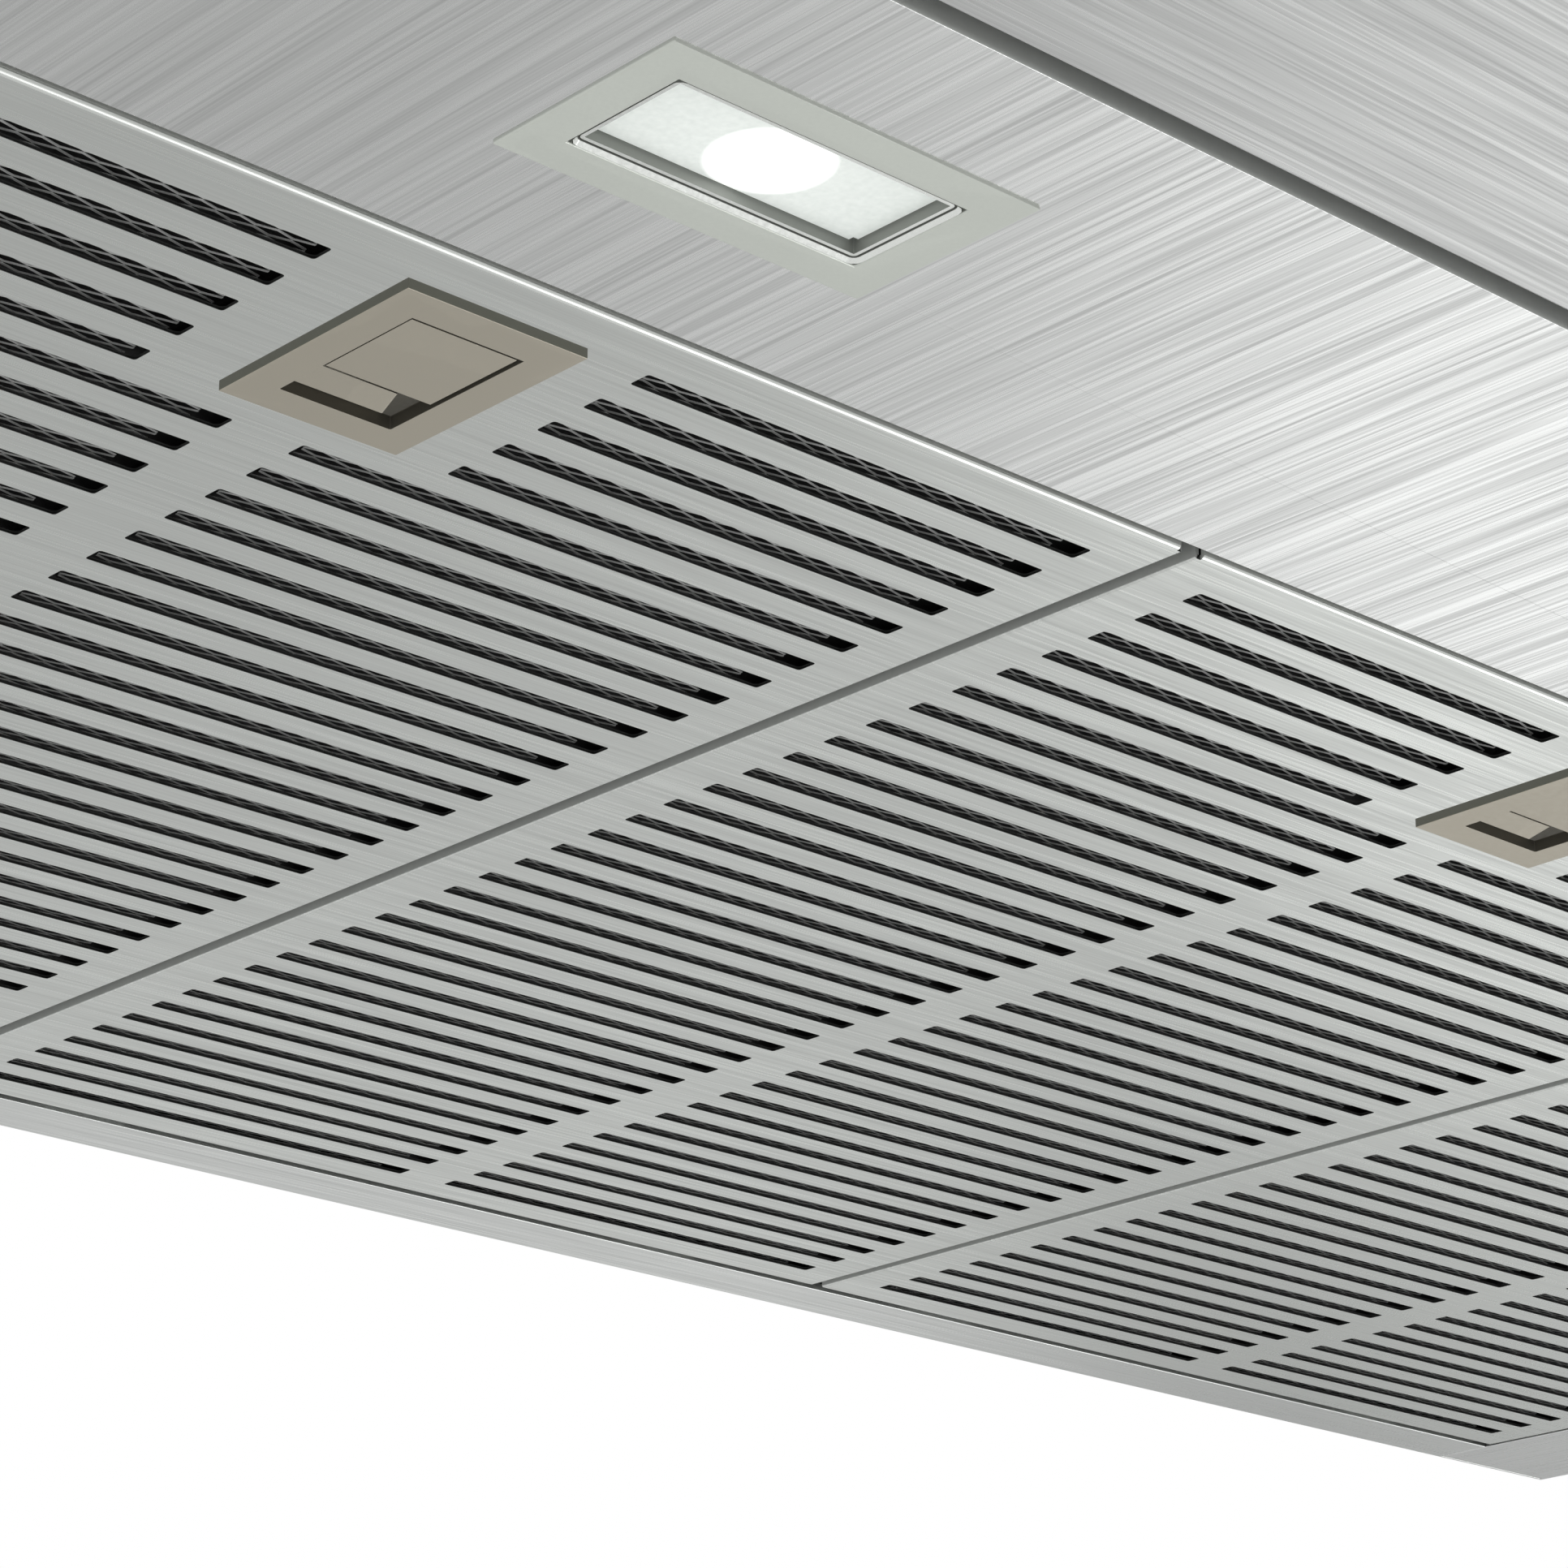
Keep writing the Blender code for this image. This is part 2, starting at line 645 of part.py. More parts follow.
def button(index):
    """Cap, retaining flange behind the bezel, and a stem that reaches for the switch board."""
    face = -DEPTH / 2
    x = button_x(index)
    half_x, half_z = BUTTON[0] / 2, BUTTON[1] / 2
    flange_front = face + BEZEL_DEPTH + GAP
    flange_x = half_x + BUTTON_FLANGE
    flange_z = half_z + BUTTON_FLANGE
    cap = box(
        (x - half_x, face, CONTROLS_Z - half_z),
        (x + half_x, flange_front + 0.001, CONTROLS_Z + half_z),
    )
    flange = box(
        (x - flange_x, flange_front, CONTROLS_Z - flange_z),
        (x + flange_x, flange_front + BUTTON_FLANGE, CONTROLS_Z + flange_z),
    )
    stem = box(
        (x - STEM_HALF_WIDTH, flange_front + 0.001, CONTROLS_Z - STEM_HALF_WIDTH),
        (x + STEM_HALF_WIDTH, face + STEM_REACH, CONTROLS_Z + STEM_HALF_WIDTH),
    )
    obj = part(joined(cap, flange, stem), f"button_{index + 1}", STEEL, (x, face, CONTROLS_Z))
    pivot(f"button_travel_{index + 1}", (x, face, CONTROLS_Z), (obj,))


def electronics():
    face = -DEPTH / 2
    half_x, half_z = SWITCH_BOARD[0] / 2, SWITCH_BOARD[1] / 2
    front, back = SWITCH_BOARD_DEPTHS
    board = box(
        (-half_x, face + front, CONTROLS_Z - half_z),
        (half_x, face + back, CONTROLS_Z + half_z),
    )
    part(board, "switch_board", BOARD_GREEN)
    low = Vector(CONTROL_BOX_LOW)
    high = Vector((*CONTROL_BOX_FAR, TOP - SHEET - GAP))
    wall = CONTROL_BOX_WALL
    enclosure = cut(
        box(low, high),
        box(low + Vector((wall, wall, -0.010)), high - Vector((wall, wall, wall))),
    )
    part(enclosure, "control_box", BLACK_PLASTIC)


# ---------------------------------------------------------------- blower


def scroll_outline(inset):
    """Spiral from the cutoff round to the outlet, with straight walls up to the outlet's mouth."""
    first, last = SCROLL_RADII
    steps = 26
    points = []
    for step in range(steps + 1):
        share = step / steps
        angle = math.radians(CUTOFF_ANGLE + share * (360 - CUTOFF_ANGLE))
        radius = first + (last - first) * share - inset
        points.append((FAN_Y + radius * math.cos(angle), FAN_Z + radius * math.sin(angle)))
    mouth = SCROLL_TOP + inset
    points.append((points[-1][0], mouth))
    points.append((points[0][0] + inset, mouth))
    points[0] = (points[0][0] + inset, points[0][1])
    return points


def scroll_housing():
    half = SCROLL_HALF_LENGTH
    solid = extruded_outline(scroll_outline(0), -half, half)
    hollow = extruded_outline(scroll_outline(SHEET), -half + SHEET, half - SHEET)
    inlets = rod("X", (FAN_Y, FAN_Z), INLET_RADIUS, -half - 0.01, half + 0.01, 40)
    return part(cut(solid, hollow, inlets), "scroll_housing", GALVANISED)


def blade_boxes():
    """Blades of the impeller as thin boxes, each turned round the axis and leaning forward."""
    bm = bmesh.new()
    middle = (FAN_RADIUS + FAN_INNER_RADIUS) / 2 - 0.0005
    for index in range(BLADES):
        turn = Matrix.Rotation(2 * math.pi * index / BLADES, 4, "X")
        lean = Matrix.Rotation(math.radians(32), 4, "X")
        size = Matrix.Diagonal((2 * FAN_HALF_LENGTH - 0.002, 0.0145, 0.0009, 1))
        place = Matrix.Translation((0, FAN_Y, FAN_Z)) @ turn @ Matrix.Translation((0, middle, 0)) @ lean
        bmesh.ops.create_cube(bm, size=1, matrix=place @ size)
    return new_object("blades", mesh_from(bm, "blades"))


def impeller():
    """Double-inlet wheel: centre disc with a bored hub, blades, and a ring at each end."""
    axis = (FAN_Y, FAN_Z)
    wheel = joined(
        blade_boxes(),
        rod("X", axis, FAN_RADIUS - 0.004, -0.001, 0.001, 48),
        rod("X", axis, 0.010, -0.010, 0.010, 24),
    )
    for low in (-FAN_HALF_LENGTH, FAN_HALF_LENGTH - 0.003):
        ring = rod("X", axis, FAN_RADIUS, low, low + 0.003, 48)
        ring = cut(ring, rod("X", axis, FAN_RADIUS - 0.011, low - 0.01, low + 0.013, 48))
        wheel = joined(wheel, ring)
    wheel = cut(wheel, rod("X", axis, SHAFT_RADIUS + GAP, -0.02, 0.02, 24))
    return part(wheel, "impeller", BLACK_PLASTIC, (0, *axis))


def blower():
    axis = (FAN_Y, FAN_Z)
    floor = TOP + GAP
    casing = cut(
        plate(CASING, CASING, floor, CASING_TOP),
        plate(CASING - 2 * SHEET, CASING - 2 * SHEET, floor - 0.01, CASING_TOP - SHEET),
        box((-0.068, FAN_Y - 0.010, CASING_TOP - 0.01), (0.068, FAN_Y + 0.097, CASING_TOP + 0.01)),
    )
    part(casing, "blower_casing", GALVANISED)
    scroll_housing()
    wheel = impeller()
    shaft = rod("X", axis, SHAFT_RADIUS, *SHAFT_ENDS, 24)
    shaft = part(shaft, "motor_shaft", SPRING_STEEL, (0, *axis))
    pivot("fan_axis", (0, *axis), (wheel, shaft))

    motor = cut(
        rod("X", axis, MOTOR_RADIUS, *MOTOR_ENDS, 40),
        rod("X", axis, SHAFT_RADIUS + GAP, MOTOR_ENDS[0] - 0.01, SHAFT_BORE_END, 24),
    )
    part(motor, "motor", MOTOR_GREY)

    side = SCROLL_HALF_LENGTH + GAP
    ring_inner, ring_outer = BRACKET_RADII
    sleeve_wall, sleeve_length = BRACKET_SLEEVE
    sleeve = MOTOR_RADIUS + GAP
    outer = cut(
        rod("X", axis, ring_outer, side, side + BRACKET_SHEET, 40),
        rod("X", axis, ring_inner, side - 0.01, side + 0.01, 40),
    )
    inner = cut(
        rod("X", axis, sleeve + sleeve_wall, side, side + sleeve_length, 40),
        rod("X", axis, sleeve, side - 0.01, side + 0.02, 40),
    )
    arms = []
    for index in range(3):
        angle = math.radians(90 + 120 * index)
        arm = box(
            (side, sleeve + 0.0017, -0.004),
            (side + BRACKET_SHEET, ring_inner + 0.0015, 0.004),
        )
        arm.data.transform(Matrix.Translation((0, *axis)) @ Matrix.Rotation(angle, 4, "X"))
        arms.append(arm)
    part(joined(outer, inner, *arms), "motor_bracket", GALVANISED)


def duct_collar():
    """Square base over the casing's outlet, with the round spigot that takes the duct."""
    low = CASING_TOP + GAP
    shoulder = low + 0.025
    bore = COLLAR_RADIUS - COLLAR_SHEET
    solid = joined(
        plate(COLLAR_BASE, COLLAR_BASE, low, shoulder),
        rod("Z", (0, 0), COLLAR_RADIUS, shoulder - 0.002, COLLAR_TOP, 48),
    )
    inner = COLLAR_BASE - 2 * COLLAR_SHEET
    hollow = cut(
        solid,
        plate(inner, inner, low - 0.01, shoulder - COLLAR_SHEET),
        rod("Z", (0, 0), bore, low + 0.005, COLLAR_TOP + 0.01, 48),
    )
    return part(hollow, "duct_collar", BLACK_PLASTIC)


def damper_flap(name, sign):
    """Half disc that swings up on the damper's pin, with a knuckle round the pin."""
    low = FLAP_Z - FLAP_SHEET / 2
    high = FLAP_Z + FLAP_SHEET / 2
    disc = rod("Z", (0, 0), FLAP_RADIUS, low, high, 48)
    y_low, y_high = sorted((-sign * 0.1, sign * FLAP_CUT))
    disc = cut(disc, box((-0.1, y_low, low - 0.01), (0.1, y_high, high + 0.01)))
    x_low, x_high = sorted(-sign * end for end in KNUCKLE_ENDS)
    knuckle = rod("X", (0, FLAP_Z), KNUCKLE_RADIUS, x_low, x_high, 20)
    y_low, y_high = sorted((sign * 0.0022, sign * (FLAP_CUT + 0.0015)))
    bridge = box((x_low + 0.002, y_low, low), (x_high - 0.002, y_high, high))
    flap = cut(joined(disc, knuckle, bridge), rod("X", (0, FLAP_Z), PIN_RADIUS + 0.0004, -0.1, 0.1, 20))
    obj = part(flap, name, BLACK_PLASTIC, (0, 0, FLAP_Z))
    pivot(f"{name}_axis", (0, 0, FLAP_Z), (obj,))


def damper():
    duct_collar()
    damper_flap("damper_flap_far", 1)
    damper_flap("damper_flap_near", -1)
    reach = COLLAR_RADIUS - COLLAR_SHEET - 2 * GAP
    part(rod("X", (0, FLAP_Z), PIN_RADIUS, -reach, reach, 16), "damper_pin", SPRING_STEEL)


# ---------------------------------------------------------------- chimney and frame


def corner_rails(side, low, high):
    """Four upright angle rails at the corners of a square."""
    outer = side / 2
    inner = outer - RAIL
    rails = []
    for sign_x in (-1, 1):
        for sign_y in (-1, 1):
            leg_x = sorted((sign_x * outer, sign_x * (outer - RAIL_SHEET)))
            leg_y = sorted((sign_y * outer, sign_y * (outer - RAIL_SHEET)))
            span_x = sorted((sign_x * outer, sign_x * inner))
            span_y = sorted((sign_y * outer, sign_y * inner))
            rails.append(box((leg_x[0], span_y[0], low), (leg_x[1], span_y[1], high)))
            rails.append(box((span_x[0], leg_y[0], low), (span_x[1], leg_y[1], high)))
    return rails


def lower_frame():
    """Frame bolted to the canopy's top, whose rails hold the ceiling frame's rails."""
    low = TOP + GAP
    foot_inner = LOWER_FRAME - 2 * 0.0125
    foot = cut(
        plate(LOWER_FRAME, LOWER_FRAME, low, low + RAIL_SHEET),
        plate(foot_inner, foot_inner, low - 0.01, low + 0.01),
    )
    ring = square_tube(LOWER_FRAME, RAIL_SHEET, LOWER_FRAME_TOP - 0.020, LOWER_FRAME_TOP)
    frame = joined(foot, *corner_rails(LOWER_FRAME, low, LOWER_FRAME_TOP), ring)
    return part(frame, "lower_frame", GALVANISED)


def ceiling_frame():
    """Plate that is screwed to the ceiling, with four rails that drop into the lower frame."""
    top_plate = plate(UPPER_FRAME, UPPER_FRAME, CEILING - 0.003, CEILING)
    frame = joined(top_plate, *corner_rails(UPPER_FRAME, UPPER_FRAME_FOOT, CEILING))
    holes = [rod("Z", (0, 0), DUCT_HOLE, CEILING - 0.01, CEILING + 0.01, 48)]
    for x in (-0.105, 0.105):
        for y in (-0.105, 0.105):
            holes.append(rod("Z", (x, y), 0.004, CEILING - 0.01, CEILING + 0.01, 16))
    return part(cut(frame, *holes), "ceiling_frame", GALVANISED)


def clamp_bolts():
    """Screws through each corner's two rails, with their heads outside."""
    z = (UPPER_FRAME_FOOT + LOWER_FRAME_TOP) / 2
    offset = LOWER_FRAME / 2 - RAIL / 2
    face = LOWER_FRAME / 2 + GAP
    index = 0
    for sign_x in (-1, 1):
        for sign_y in (-1, 1):
            index += 1
            y = sign_y * offset
            low, high = sorted((sign_x * face, sign_x * (face + 0.003)))
            head = rod("X", (y, z), 0.0055, low, high, 6)
            part(head, f"clamp_bolt_{index}", SPRING_STEEL)


def chimney():
    low = TOP + GAP
    part(square_tube(CHIMNEY, SHEET, low, low + LOWER_COVER_HEIGHT), "lower_flue_cover", STEEL)
    top = CEILING - GAP
    cover = square_tube(UPPER_COVER, SHEET, top - UPPER_COVER_HEIGHT, top)
    vents = []
    for row in range(6):
        z = top - 0.030 - row * 0.012
        vents.append(((-0.2, -0.080, z - 0.0025), (0.2, 0.080, z + 0.0025)))
    obj = part(cut(cover, boxes_as_one(vents)), "upper_flue_cover", STEEL)
    pivot("upper_cover_travel", (0, 0, top - UPPER_COVER_HEIGHT), (obj,))


def main():
    canopy_shell()
    end_cap("end_cap_left", -1)
    end_cap("end_cap_right", 1)
    light_panel()
    cover_panel()
    filters()
    for side, x in LAMPS.items():
        lamp(side, x)
    control_bezel()
    for index in range(BUTTONS):
        button(index)
    electronics()
    blower()
    damper()
    lower_frame()
    ceiling_frame()
    clamp_bolts()
    chimney()


main()
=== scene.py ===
"""Looks of the island range hood.

Each visible CAD node gets a finished piece: brushed steel canopy and panels with rounded folds, filters
with chamfered slots in front of expanded metal, latches, lit lamps, controls and chimney. The rest keep
the frame's shape under a procedural material. Lengths are in metres and angles in degrees.
"""

import json
import math

import bmesh
import bpy
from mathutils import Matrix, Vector
from mathutils.geometry import delaunay_2d_cdt

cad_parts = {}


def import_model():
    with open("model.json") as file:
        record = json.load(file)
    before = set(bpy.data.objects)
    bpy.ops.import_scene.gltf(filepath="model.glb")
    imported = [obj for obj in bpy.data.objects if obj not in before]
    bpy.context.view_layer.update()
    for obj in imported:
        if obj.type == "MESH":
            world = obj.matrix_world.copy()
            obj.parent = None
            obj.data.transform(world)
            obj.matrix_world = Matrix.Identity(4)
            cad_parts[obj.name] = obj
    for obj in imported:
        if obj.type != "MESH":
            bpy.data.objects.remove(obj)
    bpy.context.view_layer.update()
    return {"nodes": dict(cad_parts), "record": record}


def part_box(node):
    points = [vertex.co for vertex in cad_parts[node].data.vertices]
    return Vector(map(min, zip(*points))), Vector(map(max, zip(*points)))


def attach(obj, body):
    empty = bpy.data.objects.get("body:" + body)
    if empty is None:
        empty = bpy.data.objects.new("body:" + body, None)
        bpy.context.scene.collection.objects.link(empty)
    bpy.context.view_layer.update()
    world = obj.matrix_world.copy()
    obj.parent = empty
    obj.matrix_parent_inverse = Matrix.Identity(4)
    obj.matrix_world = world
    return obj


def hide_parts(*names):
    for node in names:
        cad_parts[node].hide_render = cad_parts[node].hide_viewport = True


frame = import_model()

# Camera: below the canopy's near left, looking up and to the right
CAMERA_PLACE = (-0.6274, -0.5330, -0.2879)
CAMERA_HEADING = 47.288  # of the line of sight, from +X towards +Y
CAMERA_ELEVATION = 20.894
LENS = 104.36
FLOOR_Z = -1.45

# Studio: azimuth and elevation of each soft light, angles where it is full and where it ends, and strength
AMBIENT = 0.87
STUDIO = (
    (31, -24, 7.5, 12.5, 0.85),
    (34, -8, 8, 13, -0.86),
    (58, -31, 5, 13, -0.36),
    (-12, -46, 7, 18, 3.2),
    (0, 90, 30, 95, 0.15),
    (-120, 30, 15, 60, 0.35),
)

# Sheet metal
SHEET = 0.001
FOLD = 0.0011  # outer radius of the canopy's folds
EDGE = 0.00018  # softening of every cut edge
ROUND_SEGMENTS = 4
SOFT_SEGMENTS = 2
SMALL_SEGMENTS = 3  # for the edges of small pieces, which have no folds
NEAR_FOLD = 0.0010  # generous folds along the edges that face the hood's near side
SHARP_FOLD = 0.0004
HEM_TOP = 0.0045  # the canopy's rims end here, and are not folded
PANEL_REACH = 0.0015  # how far the light panel's far flange stands out
PANEL_FLANGE = 0.0018  # depth of that flange's zone, from the panel's far edge
PANEL_NEAR_ZONE = 0.03  # past the light panel's middle, still counted as its near side
WALL_SLOPE = 0.35  # vertical share of the normal below which a face counts as upright
SMOOTH_ANGLE = 38  # between faces that are shaded as one
CONTROL_EDGE = 0.0003
BUTTON_EDGE = 0.0004

# Filters
FILTERS = (1, 2, 3)
FILTER_SHEET = 0.0008
CORNER_RELIEF = 0.0011
CORNER_STEPS = 3  # segments of a rounded corner
FOLD_STEPS = 6  # segments of a filter's folds
SLOT_PITCH = 0.0106
SLOT_WIDTH = 0.0041
SLOT_ROWS = 34
SLOT_START = 0.0065
SLOT_END = 0.1213
FIRST_SLOT = 0.0101  # from the filter's near edge
SHORT_ROWS = 5
SHORT_SLOT_START = 0.0287
SLOT_CORNER = 0.0005
SLOT_CHAMFER = 0.00005
CHAMFER_SLOPE = 0.9  # vertical share of the normal below which a face belongs to a slot's edge
LATCH_CLEARANCE = 0.0035  # from the latch plate's edges in to the hole in the filter's face

# Hook tabs of a filter: reach past its far wall, places, half width, and the bend's heights
TAB_REACH = 0.0078
TAB_OFFSET = 0.085
TAB_HALF_WIDTH = 0.012
TAB_BEND = 0.0004
TAB_ROOT_Z = 0.0052
TAB_Z = 0.0047

# Latch: half width, near and far limits of the plate's window, and the raised lip of its floor
WINDOW = (0.01025, -0.07805, -0.04695)
PLATE_EDGE = 0.00014
PLATE_FACE_DEPTH = 0.0002  # faces deeper than this in the window get painted shade
SLIDE_EDGE = 0.0002
DOWNWARD = -0.95  # vertical share of the normal of a face that looks down
FINGER_TOP = 0.0020
FINGER_FIT = 0.976  # of the finger plate's size, for a clear gap round it
LIP_OUTLINE = ((-0.0101, -0.0540), (0.0061, -0.0540), (0.0085, -0.0473), (-0.0101, -0.0473))
LIP_LEVELS = ((0.00045, 0.00202), (0.00025, 0.00204), (0.0001, 0.00210), (0.0, 0.0023))

# Lamps: inset from the trim's opening, and height, of the corners of the retaining ring's section
RETAINER = (
    (0.00002, 0.0009),
    (0.00060, 0.0015),
    (0.00062, 0.0023),
    (0.00095, 0.0023),
    (0.00097, 0.0016),
    (0.00160, 0.0016),
    (0.00160, 0.0048),
    (0.00152, 0.0048),
    (0.00152, 0.0034),
    (0.00002, 0.0034),
    (0.00002, 0.0009),
)
RETAINER_CORNER = 0.0017
RETAINER_SLOPE = 0.5  # vertical share of the normal below which the ring gets painted shade
LAMP_OPENING = (0.0515, 0.0220)
LAMP_EDGE = 0.0003
GLASS_FACE = 0.0032  # height of the glass's raised face
GLASS_FACE_SIZE = (0.0480, 0.0185)
GLASS_CORNER = 0.0009
GLASS_RIM = 0.0003

# Expanded metal behind the slots
STRAND_LONG_PITCH = 0.0064
STRAND_ROW = 0.00135
STRAND_WIDTH = 0.00042
STRAND_THICKNESS = 0.00012
STRAND_TILT = 0.00008
MESH_DEPTH = 0.0008  # of the layer's middle, above the pack's underside
STRAND_OVERLAP = 0.001  # past the outer ends of the slots

# Core of a filter, painted near-black as the shade deep inside it: its grid, its crimped surface, and half
# the width of the latch's pocket
PACK_COLUMNS = 60
PACK_ROWS = 90
PACK_CRIMP = 0.0003
PACK_WAVES = (900, 1200)
POCKET_HALF = 0.0155


# ---------------------------------------------------------------- node helpers


def new_material(name):
    material = bpy.data.materials.new(name)
    material.use_nodes = True
    nodes = material.node_tree.nodes
    nodes.clear()
    output = nodes.new("ShaderNodeOutputMaterial")
    shader = nodes.new("ShaderNodeBsdfPrincipled")
    material.node_tree.links.new(shader.outputs["BSDF"], output.inputs["Surface"])
    return material, nodes, material.node_tree.links, shader


def coordinates(nodes, links, scale, turn=(0, 0, 0)):
    """Object coordinates, stretched by scale (features per metre along each axis)."""
    source = nodes.new("ShaderNodeTexCoord")
    mapping = nodes.new("ShaderNodeMapping")
    mapping.inputs["Scale"].default_value = scale
    mapping.inputs["Rotation"].default_value = turn
    links.new(source.outputs["Object"], mapping.inputs["Vector"])
    return mapping.outputs["Vector"]


def noise(nodes, links, vector, detail=2.0):
    texture = nodes.new("ShaderNodeTexNoise")
    texture.inputs["Scale"].default_value = 1.0
    texture.inputs["Detail"].default_value = detail
    links.new(vector, texture.inputs["Vector"])
    return texture.outputs["Fac"]


def remap(nodes, links, value, low, high, from_low=0.25, from_high=0.75):
    node = nodes.new("ShaderNodeMapRange")
    node.inputs["From Min"].default_value = from_low
    node.inputs["From Max"].default_value = from_high
    node.inputs["To Min"].default_value = low
    node.inputs["To Max"].default_value = high
    links.new(value, node.inputs["Value"])
    return node.outputs["Result"]


def calculate(nodes, links, operation, first, second):
    node = nodes.new("ShaderNodeMath")
    node.operation = operation
    for socket, value in zip(node.inputs, (first, second)):
        if isinstance(value, (int, float)):
            socket.default_value = value
        else:
            links.new(value, socket)
    return node.outputs["Value"]


def weighted_sum(nodes, links, terms):
    total = None
    for value, weight in terms:
        scaled = calculate(nodes, links, "MULTIPLY", value, weight)
        total = scaled if total is None else calculate(nodes, links, "ADD", total, scaled)
    return total


def mixed_colour(nodes, links, factor, first, second):
    node = nodes.new("ShaderNodeMix")
    node.data_type = "RGBA"
    sockets = (node.inputs[0], node.inputs[6], node.inputs[7])
    for socket, value in zip(sockets, (factor, first, second)):
        if isinstance(value, (int, float)):
            socket.default_value = value
        elif isinstance(value, tuple):
            socket.default_value = (*value, 1.0)
        else:
            links.new(value, socket)
    return node.outputs[2]


def bump(nodes, links, shader, height, strength, distance):
    node = nodes.new("ShaderNodeBump")
    node.inputs["Strength"].default_value = strength
    node.inputs["Distance"].default_value = distance
    links.new(height, node.inputs["Height"])
    links.new(node.outputs["Normal"], shader.inputs["Normal"])


# ---------------------------------------------------------------- materials


def shade(colour, factor):
    """The colour made lighter or darker, within white."""
    return tuple(min(1.0, c * factor) for c in colour)


def grain_at(nodes, links, scale, detail=2.0):
    """Noise with scale features per metre along each axis."""
    return noise(nodes, links, coordinates(nodes, links, scale), detail)


def streaks_at(nodes, links, direction, along, across):
    """Noise drawn out into streaks along one axis."""
    scale = tuple(along if axis == direction else across for axis in "XYZ")
    return grain_at(nodes, links, scale)


def brushed_steel(
    name, direction, colour, contrast, roughness, length=1.0, spread=(0.36, 0.64), relief=0.10
):
    """Stainless steel with grinding streaks along one axis: hairlines, scratches and faint clouding."""
    material, nodes, links, shader = new_material(name)
    hair = streaks_at(nodes, links, direction, 30 / length, 2600)
    lines = streaks_at(nodes, links, direction, 18 / length, 1250)
    bands = streaks_at(nodes, links, direction, 6 / length, 160)
    cloud = grain_at(nodes, links, (5, 5, 5))
    streaks = weighted_sum(nodes, links, ((hair, 0.45), (lines, 0.55)))
    total = weighted_sum(nodes, links, ((streaks, 0.90), (bands, 0.10)))
    tone = remap(nodes, links, total, 0, 1, *spread)
    dark, light = shade(colour, 1 - contrast), shade(colour, 1 + contrast)
    steel = mixed_colour(nodes, links, tone, dark, light)
    clouding = remap(nodes, links, cloud, 0.0, 0.10)
    steel = mixed_colour(nodes, links, clouding, steel, shade(colour, 0.9))
    links.new(steel, shader.inputs["Base Color"])
    gloss = remap(nodes, links, total, roughness + 0.05, roughness - 0.05, *spread)
    links.new(gloss, shader.inputs["Roughness"])
    shader.inputs["Metallic"].default_value = 1.0
    shader.inputs["Anisotropic"].default_value = 0.35
    tangent = nodes.new("ShaderNodeCombineXYZ")
    tangent.inputs["XYZ".index(direction)].default_value = 1.0
    links.new(tangent.outputs["Vector"], shader.inputs["Tangent"])
    bump(nodes, links, shader, streaks, relief, 0.00005)
    return material


def speckled_metal(name, colour, roughness, metallic=1.0, grain=900.0):
    """Cast, sprung or satin metal with a fine even grain."""
    material, nodes, links, shader = new_material(name)
    fine = grain_at(nodes, links, (grain, grain, grain), detail=3)
    broad = grain_at(nodes, links, (60, 60, 60))
    grains = remap(nodes, links, fine, 0, 1)
    tone = mixed_colour(nodes, links, grains, shade(colour, 0.93), colour)
    clouding = remap(nodes, links, broad, 0, 0.12)
    tone = mixed_colour(nodes, links, clouding, tone, shade(colour, 0.8))
    links.new(tone, shader.inputs["Base Color"])
    links.new(remap(nodes, links, fine, roughness - 0.05, roughness + 0.07), shader.inputs["Roughness"])
    shader.inputs["Metallic"].default_value = metallic
    bump(nodes, links, shader, fine, 0.10, 0.00004)
    return material


def galvanised(name):
    """Zinc-coated sheet with its crystal spangle."""
    material, nodes, links, shader = new_material(name)
    cells = nodes.new("ShaderNodeTexVoronoi")
    cells.inputs["Scale"].default_value = 1.0
    links.new(coordinates(nodes, links, (110, 110, 110)), cells.inputs["Vector"])
    tint = nodes.new("ShaderNodeSeparateColor")
    links.new(cells.outputs["Color"], tint.inputs["Color"])
    facet = tint.outputs["Red"]
    fine = grain_at(nodes, links, (700, 700, 700), detail=3)
    zinc = mixed_colour(nodes, links, facet, (0.43, 0.45, 0.46), (0.60, 0.62, 0.64))
    zinc = mixed_colour(nodes, links, remap(nodes, links, fine, 0, 0.25), zinc, (0.36, 0.37, 0.38))
    links.new(zinc, shader.inputs["Base Color"])
    links.new(remap(nodes, links, facet, 0.38, 0.58, 0, 1), shader.inputs["Roughness"])
    shader.inputs["Metallic"].default_value = 0.9
    bump(nodes, links, shader, fine, 0.08, 0.00005)
    return material


def moulded_plastic(name, colour, roughness):
    """Moulded plastic with a fine spark-eroded grain."""
    material, nodes, links, shader = new_material(name)
    fine = grain_at(nodes, links, (1500, 1500, 1500))
    broad = grain_at(nodes, links, (25, 25, 25))
    lighter = tuple(min(1.0, c * 1.25 + 0.01) for c in colour)
    tone = mixed_colour(nodes, links, remap(nodes, links, broad, 0, 0.6), colour, lighter)
    links.new(tone, shader.inputs["Base Color"])
    gloss = remap(nodes, links, fine, roughness - 0.06, roughness + 0.08)
    links.new(gloss, shader.inputs["Roughness"])
    bump(nodes, links, shader, fine, 0.20, 0.00005)
    return material


